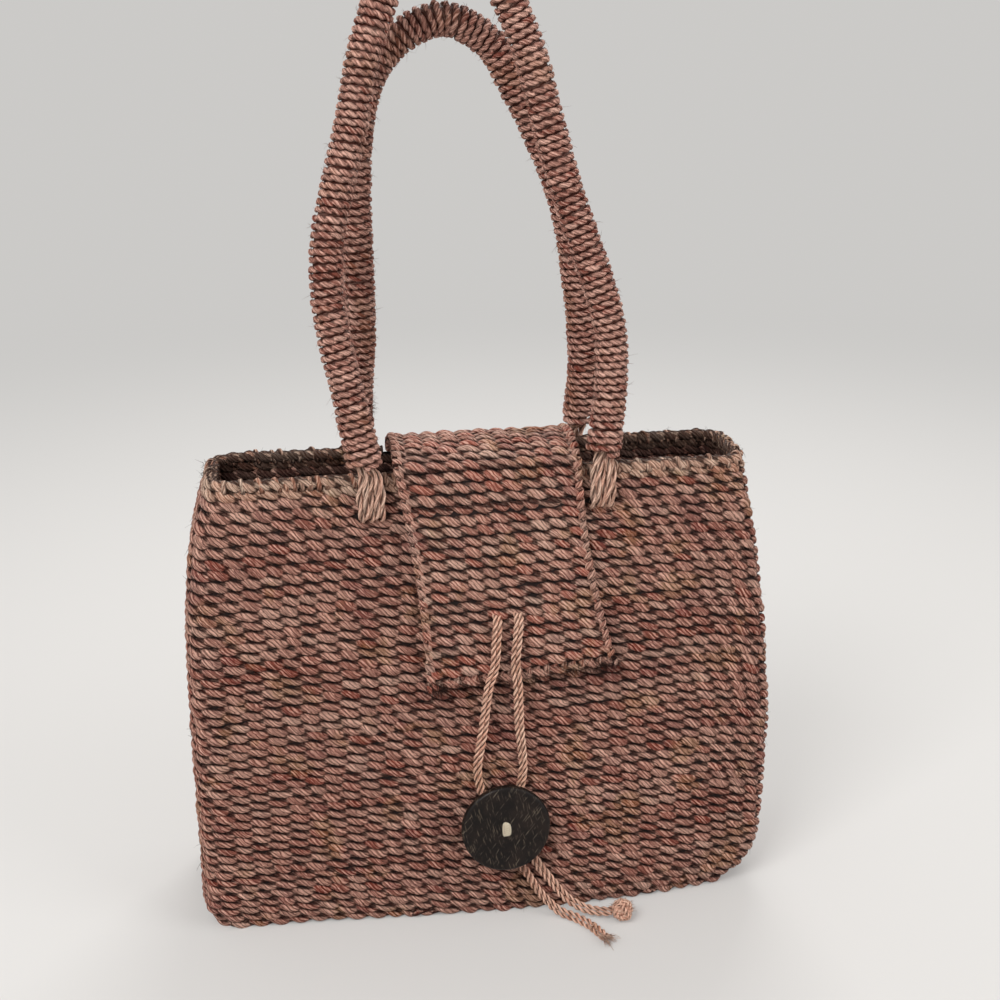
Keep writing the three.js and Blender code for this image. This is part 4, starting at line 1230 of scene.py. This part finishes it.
def make_button():
    half = BUTTON_THICK / 2
    profile = [
        (0.0, -half + 0.35), (0.55, -half + 0.32), (0.78, -half + 0.22), (0.84, -half + 0.02), (0.9, -half),
        (0.945, -half + 0.12), (0.975, -half + 0.55), (0.995, -half + 1.3), (1.0, 0.2), (0.995, half - 1.1),
        (0.97, half - 0.35), (0.92, half), (0.5, half - 0.1), (0.0, half - 0.1),
    ]
    disc = Strands(71)
    line = smooth_line([(r * BUTTON_RADIUS, y, 0) for r, y in profile], 4)
    count = 96
    angle = np.linspace(0, TURN, count, endpoint=False)
    uneven = 1 + 0.006 * np.sin(2 * angle + 0.6) + 0.004 * np.sin(5 * angle)
    rings = []
    for r, y in line[1:-1, :2]:
        dish = 0.22 * np.sin(2 * angle + 1) * (r / BUTTON_RADIUS) ** 2
        rings.append(np.stack([r * uneven * np.cos(angle), y + dish, r * uneven * np.sin(angle)], axis=1))
    quads = grid_quads(len(rings), count, False, True)
    points = from_button(np.vstack([*rings, [[0, line[0][1], 0], [0, line[-1][1], 0]]]))
    total = len(points)
    j = np.arange(count)
    k = (j + 1) % count
    low = (len(rings) - 1) * count
    disc.fans.append(np.stack([k, j, np.full(count, total - 2)], axis=1))
    disc.fans.append(np.stack([low + j, low + k, np.full(count, total - 1)], axis=1))
    disc.put(points, points, np.full(total, 0.5), np.ones(total), quads)
    disc = disc.piece("button_disc", shell)
    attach(disc, "button")
    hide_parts("button")

    thread = Strands(72)
    for across in np.linspace(-1.75, 1.75, 6):
        reach = 3.1 + thread.dice.uniform(-0.2, 0.25)
        arc = np.linspace(0, math.pi, 15)
        x = across + thread.dice.uniform(-0.1, 0.1)
        path = np.stack([
            x * np.abs(np.sin(arc)) ** 0.4 * 0.9 + x * 0.1, -half + 0.6 - 1.5 * np.sin(arc) ** 0.55,
            -reach * np.cos(arc),
        ], axis=1)
        thread.plied(from_button(smooth_line(path, 4)), 0.48, 2, 2.2, 0.6, 0.15, 5)
    for number in range(5):
        turn = TURN * number / 5 + np.linspace(0, 2.2, 14)
        deep = np.linspace(half - 1.0, half + BUTTON_OFF + WALL, 14)
        path = np.stack([1.5 * np.cos(turn), deep, 1.5 * np.sin(turn)], axis=1)
        thread.plied(from_button(path), 0.95, 2, 4.0, 0.5, 0.12, 5)
    thread = thread.piece("button_stitching", thread_cotton)
    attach(thread, "button")
    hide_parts("button_thread")

    behind = from_button([[0, half + 0.3 + BUTTON_OFF + WALL + 0.3 + 2.5, 0]])[0]
    knot = wound_knot("thread_end_knot", behind, 4.1, 6, 0.8, thread_cotton, 73, (1.0, 0.6, 1.0))
    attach(knot, "bag")
    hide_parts("thread_knot")

    tuft = Strands(74)
    foot = from_button([[0.8, half, -BUTTON_RADIUS + 1.5]])[0]
    roots = foot + tuft.dice.normal(0, 0.7, (16, 3)) * (1, 0.4, 0.5)
    tuft.hairs(roots, unit(-Z + tuft.dice.normal(0, 0.35, roots.shape)), 5.0, 0.24, 0.1, 0.4)
    tuft = tuft.piece("button_thread_tuft", dark_thread)
    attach(tuft, "button")


# Studio

BACKDROP, FLOOR_COLOUR, SKY_COLOUR = (0.60, 0.59, 0.575, 1.0), (0.50, 0.49, 0.475, 1), (0.55, 0.54, 0.53, 1.0)
FLOOR_SIZE = 6.0


def seen_straight(nodes):
    """1 where the camera looks, on its own or through gloss or glass, and 0 for the light on the bag"""
    path = nodes.node("ShaderNodeLightPath").outputs
    bare = nodes.math("MAXIMUM", path["Is Camera Ray"], path["Is Glossy Ray"])
    return nodes.math("MAXIMUM", bare, path["Is Transmission Ray"])


def make_studio():
    floor = bpy.data.meshes.new("studio_floor")
    corners = [(x * FLOOR_SIZE, y * FLOOR_SIZE, 0) for x, y in ((-1, -1), (1, -1), (1, 1), (-1, 1))]
    floor.from_pydata(corners, [], [(0, 1, 2, 3)])
    material, nodes = new_material("pale_floor")
    seen = seen_straight(nodes)
    shader = nodes.node(
        "ShaderNodeBsdfPrincipled", Base_Color=FLOOR_COLOUR, Roughness=0.9, Specular_IOR_Level=0.1,
        Emission_Color=(1.0, 0.985, 0.97, 1), Emission_Strength=nodes.times(seen, 0.2),
    )
    # The floor fades into the backdrop
    away = nodes.node("ShaderNodeVectorMath", {"operation": "LENGTH"})
    nodes.set(away.inputs[0], nodes.place())
    far = nodes.node("ShaderNodeEmission", Color=BACKDROP, Strength=1.0)
    blend = nodes.node("ShaderNodeMixShader")
    fade = nodes.times(seen, nodes.span(away.outputs["Value"], 0.3, 1.5))
    for index, item in enumerate((fade, shader.outputs[0], far.outputs[0])):
        nodes.set(blend.inputs[index], item)
    nodes.surface(blend)
    floor.materials.append(material)
    thing = placed("studio_floor", floor)
    world = bpy.data.worlds.new("studio_light")
    world.use_nodes = True
    nodes = Tree(world.node_tree)
    tone = nodes.mix(seen_straight(nodes), SKY_COLOUR, BACKDROP)
    background = nodes.node("ShaderNodeBackground", Color=tone, Strength=1.0)
    nodes.node("ShaderNodeOutputWorld", Surface=background.outputs[0])
    bpy.context.scene.world = world
    for name, place, aim, size, power in (
        ("key_light", (-0.9, -1.1, 1.5), (0, 0, 0.2), 0.9, 22.0),
        ("fill_light", (1.3, -0.9, 0.9), (0, 0, 0.2), 1.0, 8.0),
        ("back_light", (0.4, 1.3, 1.4), (0, 0, 0.25), 0.9, 15.0),
    ):
        data = bpy.data.lights.new(name, "AREA")
        data.size, data.energy = size, power
        way = unit(np.array(place) - np.array(aim))
        side = unit(np.cross(Z, way))
        placed(name, data, side, np.cross(way, side), way, place)
    bpy.context.scene.view_settings.view_transform = "Standard"


aim_camera()
make_cords()
make_body()
make_base()
make_rim()
make_flap()
make_handle("front", 61)
make_handle("back", 65)
for number, (name, (place, facing)) in enumerate(TIE_PLACES.items()):
    make_tie(name, place, facing, 80 + 10 * number)
make_button()
make_studio()
